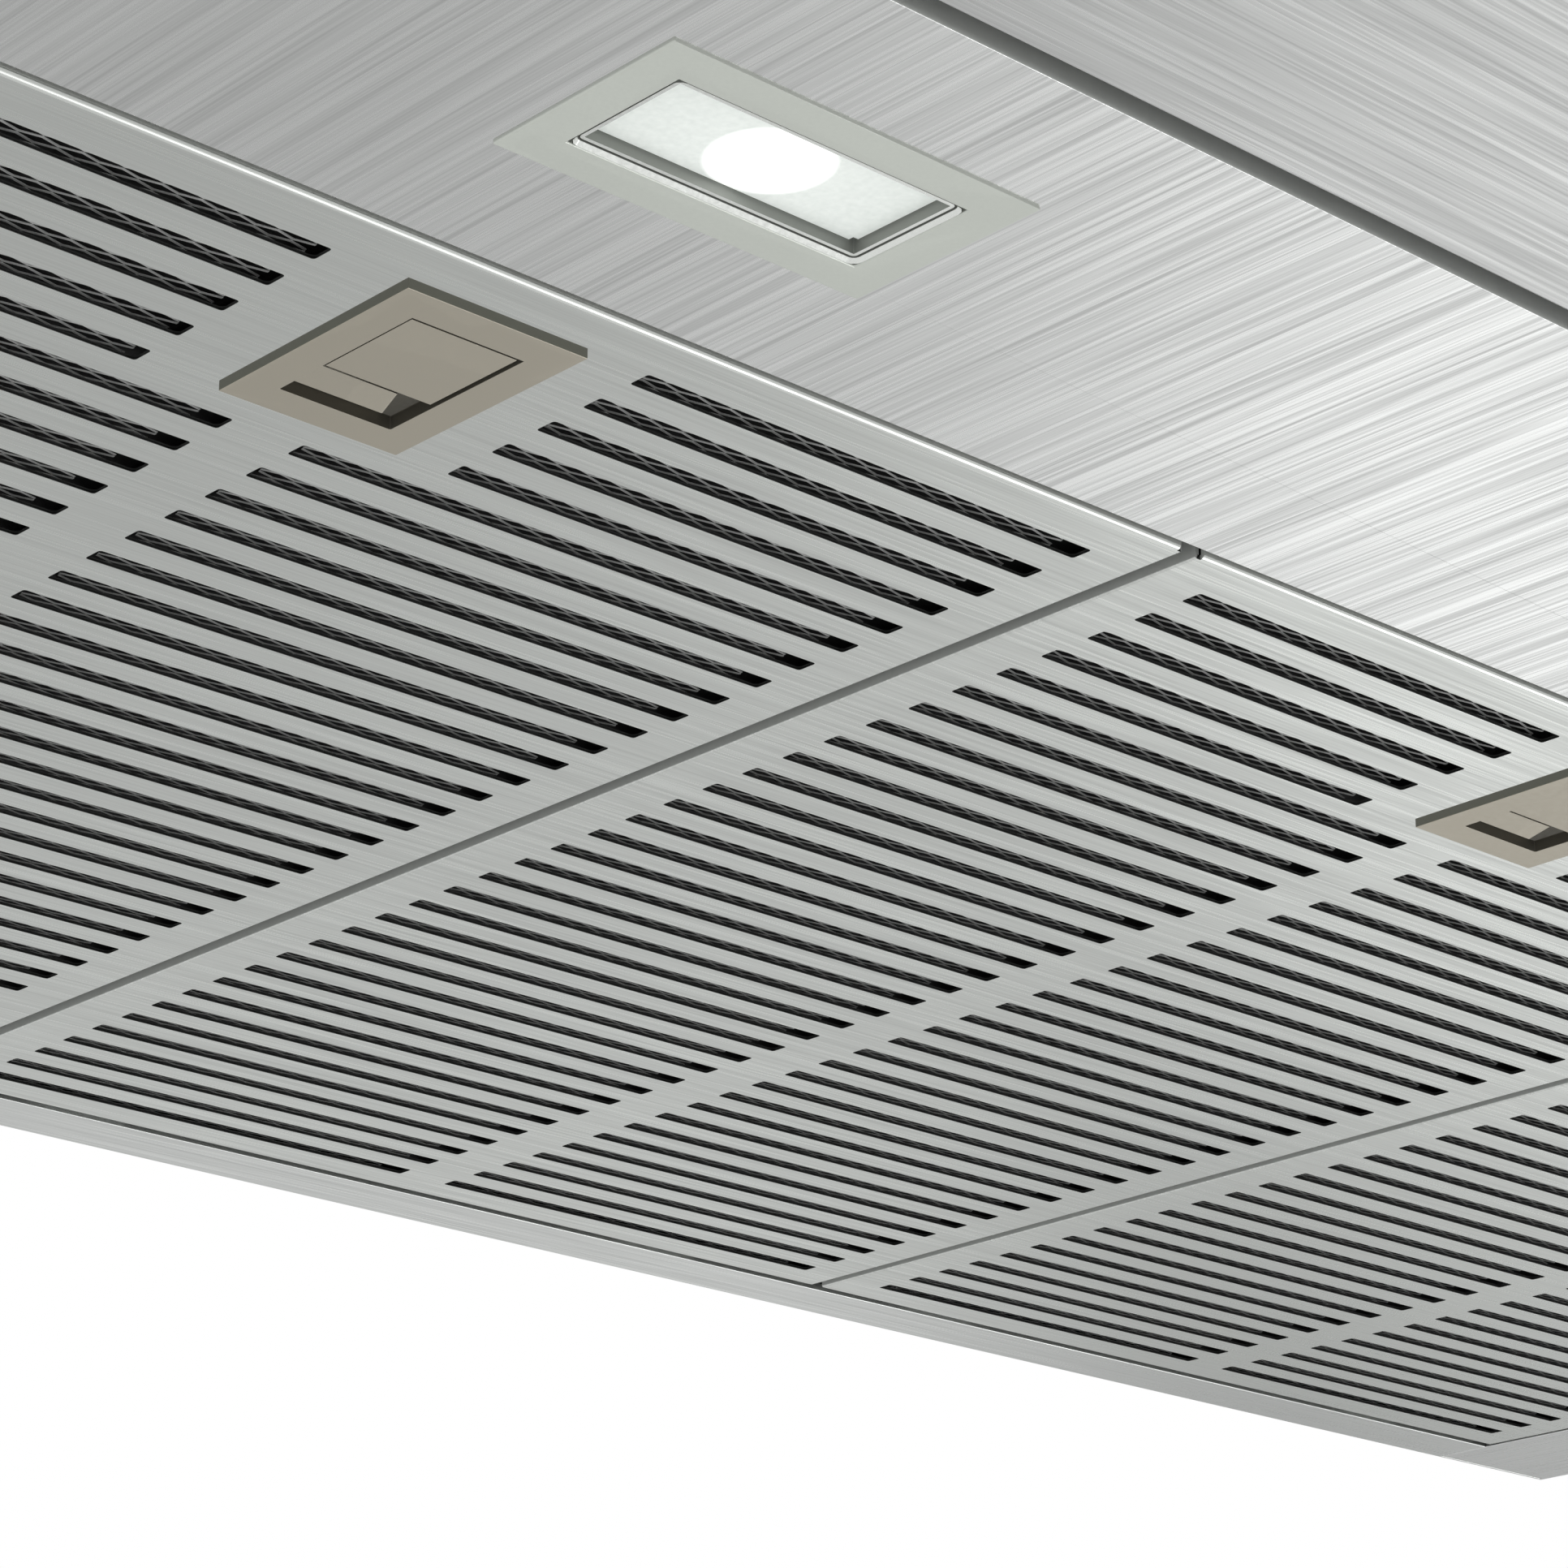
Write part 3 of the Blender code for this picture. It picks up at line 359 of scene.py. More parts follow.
def circuit_board(name):
    """Green solder mask over a pattern of copper tracks."""
    material, nodes, links, shader = new_material(name)
    tracks = nodes.new("ShaderNodeTexBrick")
    tracks.inputs["Scale"].default_value = 1.0
    tracks.inputs["Mortar Size"].default_value = 0.06
    tracks.inputs["Color1"].default_value = (0.02, 0.12, 0.05, 1)
    tracks.inputs["Color2"].default_value = (0.03, 0.16, 0.07, 1)
    tracks.inputs["Mortar"].default_value = (0.05, 0.25, 0.11, 1)
    place = coordinates(nodes, links, (260, 260, 260), turn=(math.radians(90), 0, 0))
    links.new(place, tracks.inputs["Vector"])
    links.new(tracks.outputs["Color"], shader.inputs["Base Color"])
    links.new(remap(nodes, links, tracks.outputs["Fac"], 0.25, 0.40, 0, 1), shader.inputs["Roughness"])
    bump(nodes, links, shader, tracks.outputs["Fac"], 0.2, 0.0001)
    return material


def lit_glass(name, centre):
    """Frosted cover glass, lit from behind: even glow, and a bright round patch at centre."""
    material, nodes, links, shader = new_material(name)
    place = nodes.new("ShaderNodeTexCoord")
    offset = nodes.new("ShaderNodeVectorMath")
    offset.operation = "SUBTRACT"
    offset.inputs[1].default_value = centre
    links.new(place.outputs["Object"], offset.inputs[0])
    distance = nodes.new("ShaderNodeVectorMath")
    distance.operation = "LENGTH"
    links.new(offset.outputs["Vector"], distance.inputs[0])
    patch = nodes.new("ShaderNodeMapRange")
    patch.interpolation_type = "SMOOTHSTEP"
    patch.inputs["From Min"].default_value = 0.0083
    patch.inputs["From Max"].default_value = 0.0095
    patch.inputs["To Min"].default_value = 1.0
    patch.inputs["To Max"].default_value = 0.0
    links.new(distance.outputs["Value"], patch.inputs["Value"])
    halo = remap(nodes, links, distance.outputs["Value"], 0.08, 0.0, 0.008, 0.028)
    frost = grain_at(nodes, links, (900, 900, 900))
    glow = weighted_sum(nodes, links, ((patch.outputs["Result"], 0.55), (halo, 1.0)))
    strength = calculate(nodes, links, "ADD", glow, remap(nodes, links, frost, 0.13, 0.16))
    links.new(strength, shader.inputs["Emission Strength"])
    shader.inputs["Emission Color"].default_value = (0.98, 1.0, 0.98, 1)
    tone = mixed_colour(nodes, links, frost, (0.62, 0.66, 0.64), (0.74, 0.77, 0.75))
    links.new(tone, shader.inputs["Base Color"])
    shader.inputs["Roughness"].default_value = 0.35
    bump(nodes, links, shader, frost, 0.25, 0.00004)
    return material


STEEL_X = brushed_steel("steel_brushed_along_x", "X", (0.63, 0.635, 0.63), 0.10, 0.30)
STEEL_Y = brushed_steel("steel_brushed_along_y", "Y", (0.60, 0.60, 0.60), 0.12, 0.30)
PANEL_STEEL = brushed_steel(
    "light_panel_steel", "Y", (0.61, 0.61, 0.61), 0.18, 0.30, length=1.6, spread=(0.36, 0.60), relief=0.03
)
STEEL_Z = brushed_steel("steel_brushed_along_z", "Z", (0.60, 0.605, 0.60), 0.10, 0.32)
COVER_STEEL = brushed_steel("cover_panel_steel", "X", (0.49, 0.49, 0.49), 0.12, 0.30)
FILTER_STEEL = brushed_steel("filter_steel", "X", (0.60, 0.61, 0.595), 0.10, 0.30)
# Near-black: painted shade on the filters' slot edges, for the shade inside the slots
SLOT_EDGE_PAINTED_SHADE = speckled_metal("slot_edge_painted_shade", (0.05, 0.052, 0.05), 0.60, metallic=0.45)
# Mill finish painted lighter than MILL_STEEL: painted light on the filters' near walls, seen in the seam
# by the light panel
NEAR_WALL_PAINTED_LIGHT = speckled_metal("filter_near_wall_mill_painted_light", (0.62, 0.63, 0.61), 0.55, metallic=0.45)
MILL_STEEL = speckled_metal("mill_finish_steel", (0.50, 0.51, 0.50), 0.60, metallic=0.45)
NICKEL = speckled_metal("satin_nickel", (0.47, 0.43, 0.36), 0.42)
# Darker copy of the satin nickel: painted shade on the latch plate's upright sides
NICKEL_PAINTED_SIDE_SHADE = speckled_metal("satin_nickel_painted_side_shade", (0.20, 0.20, 0.17), 0.55, metallic=0.7)
# Near-black nickel: painted shade in the latch's window and round the slide
NICKEL_PAINTED_DEEP_SHADE = speckled_metal("satin_nickel_painted_deep_shade", (0.065, 0.058, 0.044), 0.60, metallic=0.5)
TRIM_GREY = speckled_metal("trim_grey", (0.62, 0.64, 0.60), 0.45, metallic=0.7, grain=1400)
# Polished, and painted lighter than the trim: painted highlight on the lamp ring's slopes and ledge
TRIM_EDGE_PAINTED_HIGHLIGHT = speckled_metal("trim_polished_edge_painted_highlight", (0.80, 0.81, 0.79), 0.22, metallic=0.9, grain=1400)
TRIM_SHADE = speckled_metal("trim_shaded_wall", (0.32, 0.33, 0.31), 0.50, metallic=0.6, grain=1400)
ALUMINIUM = speckled_metal("expanded_aluminium", (0.72, 0.72, 0.72), 0.45, metallic=0.35)
# Near-black: painted shade for the depth of each filter behind its expanded metal
FILTER_CORE_PAINTED_SHADE = speckled_metal("filter_core_painted_shade", (0.015, 0.015, 0.015), 0.80, metallic=0.2)
SPRING_STEEL = speckled_metal("spring_steel", (0.50, 0.50, 0.50), 0.30)
MOTOR_PAINT = speckled_metal("motor_paint", (0.22, 0.23, 0.24), 0.50, metallic=0.3)
ZINC = galvanised("galvanised_sheet")
BLACK_PLASTIC = moulded_plastic("black_plastic", (0.030, 0.030, 0.032), 0.45)
WHITE_PLASTIC = moulded_plastic("white_plastic", (0.75, 0.75, 0.73), 0.40)
RUBBER = moulded_plastic("gasket_rubber", (0.045, 0.048, 0.046), 0.70)
BOARD = circuit_board("circuit_board")

SLOT_OF = {part["node"]: part["material_slot"] for part in frame["record"]["subparts"]}
BODY_OF = {
    node: body for body, nodes in frame["record"]["behaviour"]["bodies"].items() for node in nodes
}


# ---------------------------------------------------------------- geometry helpers


def piece_for(node, mesh, material, name=None):
    """A new piece that stands for one CAD node, with that node's body and the given material; the node is
    hidden.
    """
    obj = bpy.data.objects.new(name or f"{node}_finished", mesh)
    bpy.context.scene.collection.objects.link(obj)
    mesh.materials.clear()
    mesh.materials.append(material)
    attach(obj, BODY_OF[node])
    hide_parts(node)
    return obj


def merged_faces(node, merge=True):
    """The CAD node's mesh, with its triangles joined into flat faces unless merge is False."""
    bm = bmesh.new()
    bm.from_mesh(frame["nodes"][node].data)
    bmesh.ops.remove_doubles(bm, verts=bm.verts, dist=1e-6)
    if merge:
        bmesh.ops.dissolve_limit(bm, angle_limit=math.radians(1), verts=bm.verts, edges=bm.edges)
    return bm


def narrowest(face):
    """Rough width of a face across its longest edge."""
    longest = max(edge.calc_length() for edge in face.edges)
    return face.calc_area() / longest


def is_fold(edge):
    """True between two faces that are both wider than the sheet is thick."""
    if len(edge.link_faces) != 2 or edge.calc_face_angle(0.0) < math.radians(40):
        return False
    return min(narrowest(face) for face in edge.link_faces) > 1.6 * SHEET


def refined(
    node, material, fold=FOLD, edge=EDGE, share=None, wall=None, reach=None, merge=True
):
    """The CAD node with rounded folds and softened sheet edges.

    A small piece has fold=None: only its edges are softened. share gives a fold's part of the full
    radius, reach how far a corner is drawn out along Y, and wall the material of the upright faces, if it
    differs: a finish, or painted shade on the latch. A thin rim round an opening needs merge=False: joined
    into one face, it would be filled across the opening.
    """
    bm = merged_faces(node, merge)
    for vert in bm.verts:
        vert.co.y += reach(vert.co) if reach else 0
    weights = bm.edges.layers.float.new("bevel_weight_edge")
    for bm_edge in bm.edges:
        if is_fold(bm_edge):
            part = share(bm_edge) if share else 1.0
            bm_edge[weights] = part if bm_edge.is_convex else 0.0
    mesh = bpy.data.meshes.new(node)
    bm.to_mesh(mesh)
    bm.free()
    obj = piece_for(node, mesh, material)
    if fold:
        folds = obj.modifiers.new("folds", "BEVEL")
        folds.limit_method = "WEIGHT"
        folds.width = fold
        folds.segments = ROUND_SEGMENTS if fold > SHARP_FOLD else SOFT_SEGMENTS
        folds.use_clamp_overlap = False
        folds.harden_normals = True
    edges = obj.modifiers.new("edges", "BEVEL")
    edges.limit_method = "ANGLE"
    edges.angle_limit = math.radians(45)
    edges.width = edge
    edges.segments = SOFT_SEGMENTS if fold else SMALL_SEGMENTS
    edges.use_clamp_overlap = not fold
    finish_surface(obj)
    if wall:
        obj.data.materials.append(wall)
        for polygon in obj.data.polygons:
            polygon.material_index = int(abs(polygon.normal.z) < WALL_SLOPE)
    return obj


def apply_modifiers(obj):
    """Replace the object's mesh by what its modifiers make of it."""
    graph = bpy.context.evaluated_depsgraph_get()
    mesh = bpy.data.meshes.new_from_object(obj.evaluated_get(graph))
    obj.modifiers.clear()
    obj.data = mesh


def finish_surface(obj):
    """Apply the modifiers, then smooth shading that keeps the flat faces flat."""
    apply_modifiers(obj)
    obj.data.shade_smooth()
    obj.data.set_sharp_from_angle(angle=math.radians(SMOOTH_ANGLE))
    weighted = obj.modifiers.new("weighted", "WEIGHTED_NORMAL")
    weighted.mode = "FACE_AREA"
    weighted.weight = 100
    weighted.keep_sharp = True
    apply_modifiers(obj)


# ---------------------------------------------------------------- filters


def slot_spans(row):
    """Ends along X of a row's two slots: the first rows leave room for the latch."""
    start = SHORT_SLOT_START if row < SHORT_ROWS else SLOT_START
    return ((-SLOT_END, -start), (start, SLOT_END))


def rounded_outline(low_x, low_y, high_x, high_y, radius, spread):
    """Corner points of a rounded rectangle, anticlockwise, grown by spread."""
    points = []
    corners = (
        (high_x - radius, high_y - radius, 0),
        (low_x + radius, high_y - radius, 90),
        (low_x + radius, low_y + radius, 180),
        (high_x - radius, low_y + radius, 270),
    )
    for x, y, first in corners:
        for step in range(CORNER_STEPS + 1):
            angle = math.radians(first + 90 * step / CORNER_STEPS)
            reach = radius + spread
            points.append((x + reach * math.cos(angle), y + reach * math.sin(angle)))
    return points


def face_openings(near, latch_low, latch_high):
    """Outline limits of every opening in a filter's face, about the filter's middle."""
    openings = []
    for row in range(SLOT_ROWS):
        y = near + FIRST_SLOT + row * SLOT_PITCH
        for low_x, high_x in slot_spans(row):
            openings.append((low_x, y, high_x, y + SLOT_WIDTH))
    half = (latch_high.x - latch_low.x) / 2 - LATCH_CLEARANCE
    openings.append((-half, latch_low.y + LATCH_CLEARANCE, half, latch_high.y - LATCH_CLEARANCE))
    return openings


def add_strip(bm, rails):
    """Quads between successive rails of points."""
    rows = [[bm.verts.new(point) for point in rail] for rail in rails]
    for first, second in zip(rows, rows[1:]):
        for index in range(len(first) - 1):
            bm.faces.new((first[index], first[index + 1], second[index + 1], second[index]))


def fold_profile(radius, top):
    """Outward reach from the flat's edge, and height above it, round a fold and up its wall."""
    profile = []
    for step in range(FOLD_STEPS + 1):
        angle = math.radians(90 * step / FOLD_STEPS)
        profile.append((radius * math.sin(angle), radius * (1 - math.cos(angle))))
    profile.append((radius, top))
    return profile


def filter_face(index):
    """Slotted tray: flat face with chamfered slots, four rounded folds and relieved corners."""
    low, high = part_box(f"filter_face_{index}")
    latch_low, latch_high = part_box(f"latch_plate_{index}")
    middle = sum(c.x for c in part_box(f"filter_mesh_{index}")) / 2
    half = (high.x - low.x) / 2
    far = high.y - TAB_REACH
    base, top = low.z, high.z
    flat = (-half + SHARP_FOLD, low.y + NEAR_FOLD, half - SHARP_FOLD, far - SHARP_FOLD)

    points = [(flat[0], flat[1]), (flat[2], flat[1]), (flat[2], flat[3]), (flat[0], flat[3])]
    loops = [list(range(4))]
    openings = face_openings(low.y, latch_low, latch_high)
    for opening in openings:
        outline = rounded_outline(*opening, SLOT_CORNER, SLOT_CHAMFER)
        loops.append(list(range(len(points), len(points) + len(outline))))
        points.extend(outline)
    edges = [(a, b) for loop in loops for a, b in zip(loop, loop[1:] + loop[:1])]
    corners, _, triangles = delaunay_2d_cdt([Vector(p) for p in points], edges, [], 0, 1e-7)[:3]

    bm = bmesh.new()
    verts = [bm.verts.new((p.x + middle, p.y, base)) for p in corners]
    for triangle in triangles:
        x = sum(corners[i].x for i in triangle) / 3
        y = sum(corners[i].y for i in triangle) / 3
        if not any(o[0] < x < o[2] and o[1] < y < o[3] for o in openings):
            bm.faces.new([verts[i] for i in reversed(triangle)])
    for opening in openings:
        rim = rounded_outline(*opening, SLOT_CORNER, SLOT_CHAMFER)
        inner = rounded_outline(*opening, SLOT_CORNER, 0)
        rim.append(rim[0])
        inner.append(inner[0])
        add_strip(
            bm,
            (
                [(x + middle, y, base) for x, y in rim],
                [(x + middle, y, base + SLOT_CHAMFER) for x, y in inner],
            ),
        )
    near_profile = fold_profile(NEAR_FOLD, top - base)
    side_profile = fold_profile(SHARP_FOLD, top - base)
    x_ends = (middle - half + CORNER_RELIEF, middle + half - CORNER_RELIEF)
    y_ends = (low.y + NEAR_FOLD, far - SHARP_FOLD)
    back_x, back_y = x_ends[::-1], y_ends[::-1]
    left, right = middle + flat[0], middle + flat[2]
    add_strip(bm, [[(x, flat[1] - out, base + up) for x in x_ends] for out, up in near_profile])
    add_strip(bm, [[(x, flat[3] + out, base + up) for x in back_x] for out, up in side_profile])
    add_strip(bm, [[(left - out, y, base + up) for y in back_y] for out, up in side_profile])
    add_strip(bm, [[(right + out, y, base + up) for y in y_ends] for out, up in side_profile])
    bmesh.ops.remove_doubles(bm, verts=bm.verts, dist=1e-7)
    bmesh.ops.recalc_face_normals(bm, faces=bm.faces)
    lowest = min(bm.faces, key=lambda face: face.calc_center_median().z)
    if lowest.normal.z > 0:
        bmesh.ops.reverse_faces(bm, faces=bm.faces)
    mesh = bpy.data.meshes.new(f"filter_face_{index}")
    bm.to_mesh(mesh)
    bm.free()
    obj = piece_for(f"filter_face_{index}", mesh, FILTER_STEEL)
    sheet = obj.modifiers.new("sheet", "SOLIDIFY")
    sheet.thickness = FILTER_SHEET
    sheet.offset = -1
    finish_surface(obj)
    # Upright faces: painted light on the near walls, painted shade on the slots' edges, and the mill
    # finish on the other walls
    for finish in (NEAR_WALL_PAINTED_LIGHT, SLOT_EDGE_PAINTED_SHADE, MILL_STEEL):
        obj.data.materials.append(finish)
    for polygon in obj.data.polygons:
        within = low.y + NEAR_FOLD < polygon.center.y < far - SHARP_FOLD
        within = within and abs(polygon.center.x - middle) < half - SHARP_FOLD
        if abs(polygon.normal.z) < (CHAMFER_SLOPE if within else WALL_SLOPE):
            near = polygon.center.y < low.y + NEAR_FOLD
            polygon.material_index = 2 if within else 1 if near else 3


def filter_tabs(index):
    """Two hook tabs that rest on the far lip, bent out of the far wall."""
    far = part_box(f"filter_face_{index}")[1].y
    wall = far - TAB_REACH
    middle = sum(c.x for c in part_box(f"filter_mesh_{index}")) / 2
    bm = bmesh.new()
    for side in (-1, 1):
        x = middle + side * TAB_OFFSET
        ends = (x - TAB_HALF_WIDTH, x + TAB_HALF_WIDTH)
        bend = ((wall - TAB_BEND, TAB_ROOT_Z), (wall + TAB_BEND, TAB_Z), (far, TAB_Z))
        add_strip(bm, [[(x, y, z) for x in ends] for y, z in bend])
    mesh = bpy.data.meshes.new(f"filter_tabs_{index}")
    bm.to_mesh(mesh)
    bm.free()
    obj = bpy.data.objects.new(f"filter_tabs_{index}", mesh)
    bpy.context.scene.collection.objects.link(obj)
    mesh.materials.append(FILTER_STEEL)
    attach(obj, f"filter_{index}")
    sheet = obj.modifiers.new("sheet", "SOLIDIFY")
    sheet.thickness = FILTER_SHEET
    sheet.offset = 0
    finish_surface(obj)


def add_strand(points, faces, line, width, thickness):
    """A flat ribbon of four-cornered sections along line."""
    first = len(points)
    for x, y, z in line:
        points.extend(
            (
                (x, y - width / 2, z - thickness / 2),
                (x, y + width / 2, z - thickness / 2),
                (x, y + width / 2, z + thickness / 2),
                (x, y - width / 2, z + thickness / 2),
            )
        )
    for section in range(len(line) - 1):
        base = first + 4 * section
        for corner in range(4):
            following = (corner + 1) % 4
            faces.append((base + corner, base + following, base + 4 + following, base + 4 + corner))
    last = first + 4 * (len(line) - 1)
    faces.append((first + 3, first + 2, first + 1, first))
    faces.append((last, last + 1, last + 2, last + 3))


def expanded_metal():
    """One layer of expanded metal in two bays: zigzag strands that meet their neighbours at each peak."""
    low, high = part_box("filter_mesh_2")
    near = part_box("filter_face_2")[0].y
    short_end = near + FIRST_SLOT + SHORT_ROWS * SLOT_PITCH
    half_pitch = STRAND_LONG_PITCH / 2
    points, faces = [], []
    for row in range(int((high.y - low.y) / STRAND_ROW)):
        y_row = low.y + (row + 0.5) * STRAND_ROW
        start = SHORT_SLOT_START if y_row < short_end else SLOT_START
        for low_x, high_x in ((-SLOT_END - STRAND_OVERLAP, -start), (start, SLOT_END)):
            first = math.ceil(low_x / half_pitch)
            line = []
            for step in range(first, math.floor(high_x / half_pitch) + 1):
                side = 1 if (step + row) % 2 else -1
                y = y_row + side * (STRAND_ROW - STRAND_WIDTH) / 2
                line.append((step * half_pitch, y, low.z + MESH_DEPTH + side * STRAND_TILT))
            add_strand(points, faces, line, STRAND_WIDTH, STRAND_THICKNESS)
    return points, faces


def pack_mesh():
    """Core of a filter: the inner layers, near-black as painted shade deep in the filter, with a crimped
    surface, round the latch's pocket.
    """
    low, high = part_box("filter_mesh_2")
    latch_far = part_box("latch_plate_2")[1].y
    bottom, top = low.z + 2 * MESH_DEPTH, high.z - 2 * MESH_DEPTH
    bm = bmesh.new()
    bmesh.ops.create_grid(bm, x_segments=PACK_COLUMNS, y_segments=PACK_ROWS, size=0.5)
    for vert in bm.verts:
        vert.co.x = (low.x + high.x) / 2 + vert.co.x * (high.x - low.x)
        vert.co.y = (low.y + high.y) / 2 + vert.co.y * (high.y - low.y)
        wave = math.sin(vert.co.x * PACK_WAVES[0]) * math.sin(vert.co.y * PACK_WAVES[1])
        vert.co.z = bottom + PACK_CRIMP * (1 + wave)
    inside = []
    for face in bm.faces:
        place = face.calc_center_median()
        if abs(place.x) < POCKET_HALF and place.y < latch_far:
            inside.append(face)
    bmesh.ops.delete(bm, geom=inside, context="FACES")
    walls = bmesh.ops.extrude_face_region(bm, geom=bm.faces[:])
    for item in walls["geom"]:
        if isinstance(item, bmesh.types.BMVert):
            item.co.z = top
    bmesh.ops.recalc_face_normals(bm, faces=bm.faces)
    mesh = bpy.data.meshes.new("filter_core_painted_shade")
    bm.to_mesh(mesh)
    bm.free()
    return mesh


def filter_meshes():
    """The three filters' expanded metal: one mesh, placed in each filter."""
    points, faces = expanded_metal()
    mesh = bpy.data.meshes.new("expanded_metal")
    mesh.from_pydata(points, [], faces)
    pack = pack_mesh()
    low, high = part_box("filter_mesh_2")
    for index in FILTERS:
        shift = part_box(f"filter_mesh_{index}")[0].x - low.x
        front = piece_for(f"filter_mesh_{index}", mesh, ALUMINIUM, f"expanded_metal_{index}")
        front.location.x = shift
        back = piece_for(f"filter_mesh_{index}", mesh, ALUMINIUM, f"expanded_metal_back_{index}")
        back.location = (shift, 0, high.z - low.z - 2 * MESH_DEPTH)
        core = piece_for(f"filter_mesh_{index}", pack, FILTER_CORE_PAINTED_SHADE, f"filter_core_painted_shade_{index}")
        core.location.x = shift


# ---------------------------------------------------------------- pieces


def lip_mesh(index, middle):
    """Raised part of the window's floor, with a slanted and rounded end."""
    outline = [(middle + x, y) for x, y in LIP_OUTLINE]
    bm = bmesh.new()
    for inset, z in LIP_LEVELS:
        for x, y in outline:
            bm.verts.new((x - (inset if x > middle else 0), y, z))
    bm.verts.ensure_lookup_table()
    count = len(outline)
    for level in range(len(LIP_LEVELS) - 1):
        for corner in range(count):
            following = (corner + 1) % count
            ring = [level * count + corner, level * count + following]
            ring += [(level + 1) * count + following, (level + 1) * count + corner]
            bm.faces.new([bm.verts[i] for i in ring])
    bm.faces.new([bm.verts[i] for i in reversed(range(count))])
    bm.faces.new([bm.verts[i + (len(LIP_LEVELS) - 1) * count] for i in range(count)])
    bmesh.ops.recalc_face_normals(bm, faces=bm.faces)
    mesh = bpy.data.meshes.new(f"latch_lip_{index}")
    bm.to_mesh(mesh)
    bm.free()
    return mesh


def latch(index):
    """Latch plate with painted shade on its sides and on the walls and floor in its window, the floor's
    raised lip, and the slide, outlined by painted shade.
    """
    plate = refined(
        f"latch_plate_{index}", NICKEL, fold=None, edge=PLATE_EDGE, wall=NICKEL_PAINTED_SIDE_SHADE, merge=False
    )
    plate.visible_glossy = False
    plate.data.materials.append(NICKEL_PAINTED_DEEP_SHADE)
    low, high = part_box(f"latch_plate_{index}")
    middle = (low.x + high.x) / 2
    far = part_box(f"latch_slide_{index}")[1].y
    for polygon in plate.data.polygons:
        place = polygon.center
        inside = abs(place.x - middle) < WINDOW[0] and WINDOW[1] < place.y < WINDOW[2]
        by_slide = place.y < far and polygon.normal.z > DOWNWARD
        if inside and (by_slide or place.z > low.z + PLATE_FACE_DEPTH):
            polygon.material_index = 2
    lip = piece_for(f"latch_plate_{index}", lip_mesh(index, middle), NICKEL, f"latch_lip_{index}")
    finish_surface(lip)
    slide = refined(
        f"latch_slide_{index}", NICKEL, fold=None, edge=SLIDE_EDGE, wall=NICKEL_PAINTED_DEEP_SHADE, merge=False
    )
    slide.visible_glossy = False
    # All but the slide's downward face get painted shade, a dark outline round it
    for polygon in slide.data.polygons:
        polygon.material_index = int(polygon.normal.z > DOWNWARD)
    for vert in slide.data.vertices:
        if vert.co.z < FINGER_TOP:
            vert.co.x = middle + (vert.co.x - middle) * FINGER_FIT
            vert.co.y = far + (vert.co.y - far) * FINGER_FIT


def refine_filters():
    for index in FILTERS:
        filter_face(index)
        filter_tabs(index)
        latch(index)
    filter_meshes()


def lamp_retainer(side):
    """Ring in the trim's opening: a polished slope, painted lighter as a highlight, up to a ledge in front
    of the gasket; its upright walls get painted shade.
    """
    low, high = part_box(f"lamp_trim_{side}")
    x, y = (low.x + high.x) / 2, (low.y + high.y) / 2
    half_x, half_y = LAMP_OPENING[0] / 2, LAMP_OPENING[1] / 2
    limits = (x - half_x, y - half_y, x + half_x, y + half_y)
    rails = []
    for inset, z in RETAINER:
        outline = rounded_outline(*limits, RETAINER_CORNER, -inset)
        rails.append([(*point, z) for point in outline + outline[:1]])
    bm = bmesh.new()
    add_strip(bm, rails)
    bmesh.ops.remove_doubles(bm, verts=bm.verts, dist=1e-7)
    bmesh.ops.recalc_face_normals(bm, faces=bm.faces)
    mesh = bpy.data.meshes.new(f"lamp_retainer_{side}")
    bm.to_mesh(mesh)
    bm.free()
    ring = piece_for(f"lamp_trim_{side}", mesh, TRIM_EDGE_PAINTED_HIGHLIGHT, f"lamp_retainer_{side}")
    finish_surface(ring)
    # Painted shade on the ring's upright walls
    ring.data.materials.append(TRIM_SHADE)
    for polygon in ring.data.polygons:
        polygon.material_index = int(abs(polygon.normal.z) < RETAINER_SLOPE)


def glass_face(side, centre, material):
    """The glass's raised face, which fills the gasket's opening."""
    bm = bmesh.new()
    bmesh.ops.create_cube(bm, size=1)
    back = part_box(f"lamp_glass_{side}")[0].z
    for vert in bm.verts:
        vert.co.x = centre[0] + vert.co.x * GLASS_FACE_SIZE[0]
        vert.co.y = centre[1] + vert.co.y * GLASS_FACE_SIZE[1]
        vert.co.z = GLASS_FACE if vert.co.z < 0 else back
    corners = [edge for edge in bm.edges if abs(edge.verts[0].co.z - edge.verts[1].co.z) > 1e-4]
    bmesh.ops.bevel(
        bm, geom=corners, offset=GLASS_CORNER, segments=ROUND_SEGMENTS, affect="EDGES"
    )
    rim = [edge for edge in bm.edges if max(vert.co.z for vert in edge.verts) < GLASS_FACE + 1e-5]
    bmesh.ops.bevel(bm, geom=rim, offset=GLASS_RIM, segments=SMALL_SEGMENTS, affect="EDGES")
    mesh = bpy.data.meshes.new(f"lamp_glass_face_{side}")
    bm.to_mesh(mesh)
    bm.free()
    finish_surface(piece_for(f"lamp_glass_{side}", mesh, material, f"lamp_glass_face_{side}"))


def refine_lamps():
    for side in ("left", "right"):
        trim = refined(f"lamp_trim_{side}", TRIM_GREY, fold=None, edge=LAMP_EDGE)
        trim.visible_glossy = False
        lamp_retainer(side)
        glass = f"lamp_glass_{side}"
        low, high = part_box(glass)
        centre = ((low.x + high.x) / 2, (low.y + high.y) / 2, GLASS_FACE)
        material = lit_glass(f"lit_glass_{side}", centre)
        refined(glass, material, fold=None, edge=LAMP_EDGE)
        glass_face(side, centre, material)
        refined(f"lamp_gasket_{side}", RUBBER, fold=None, edge=LAMP_EDGE)


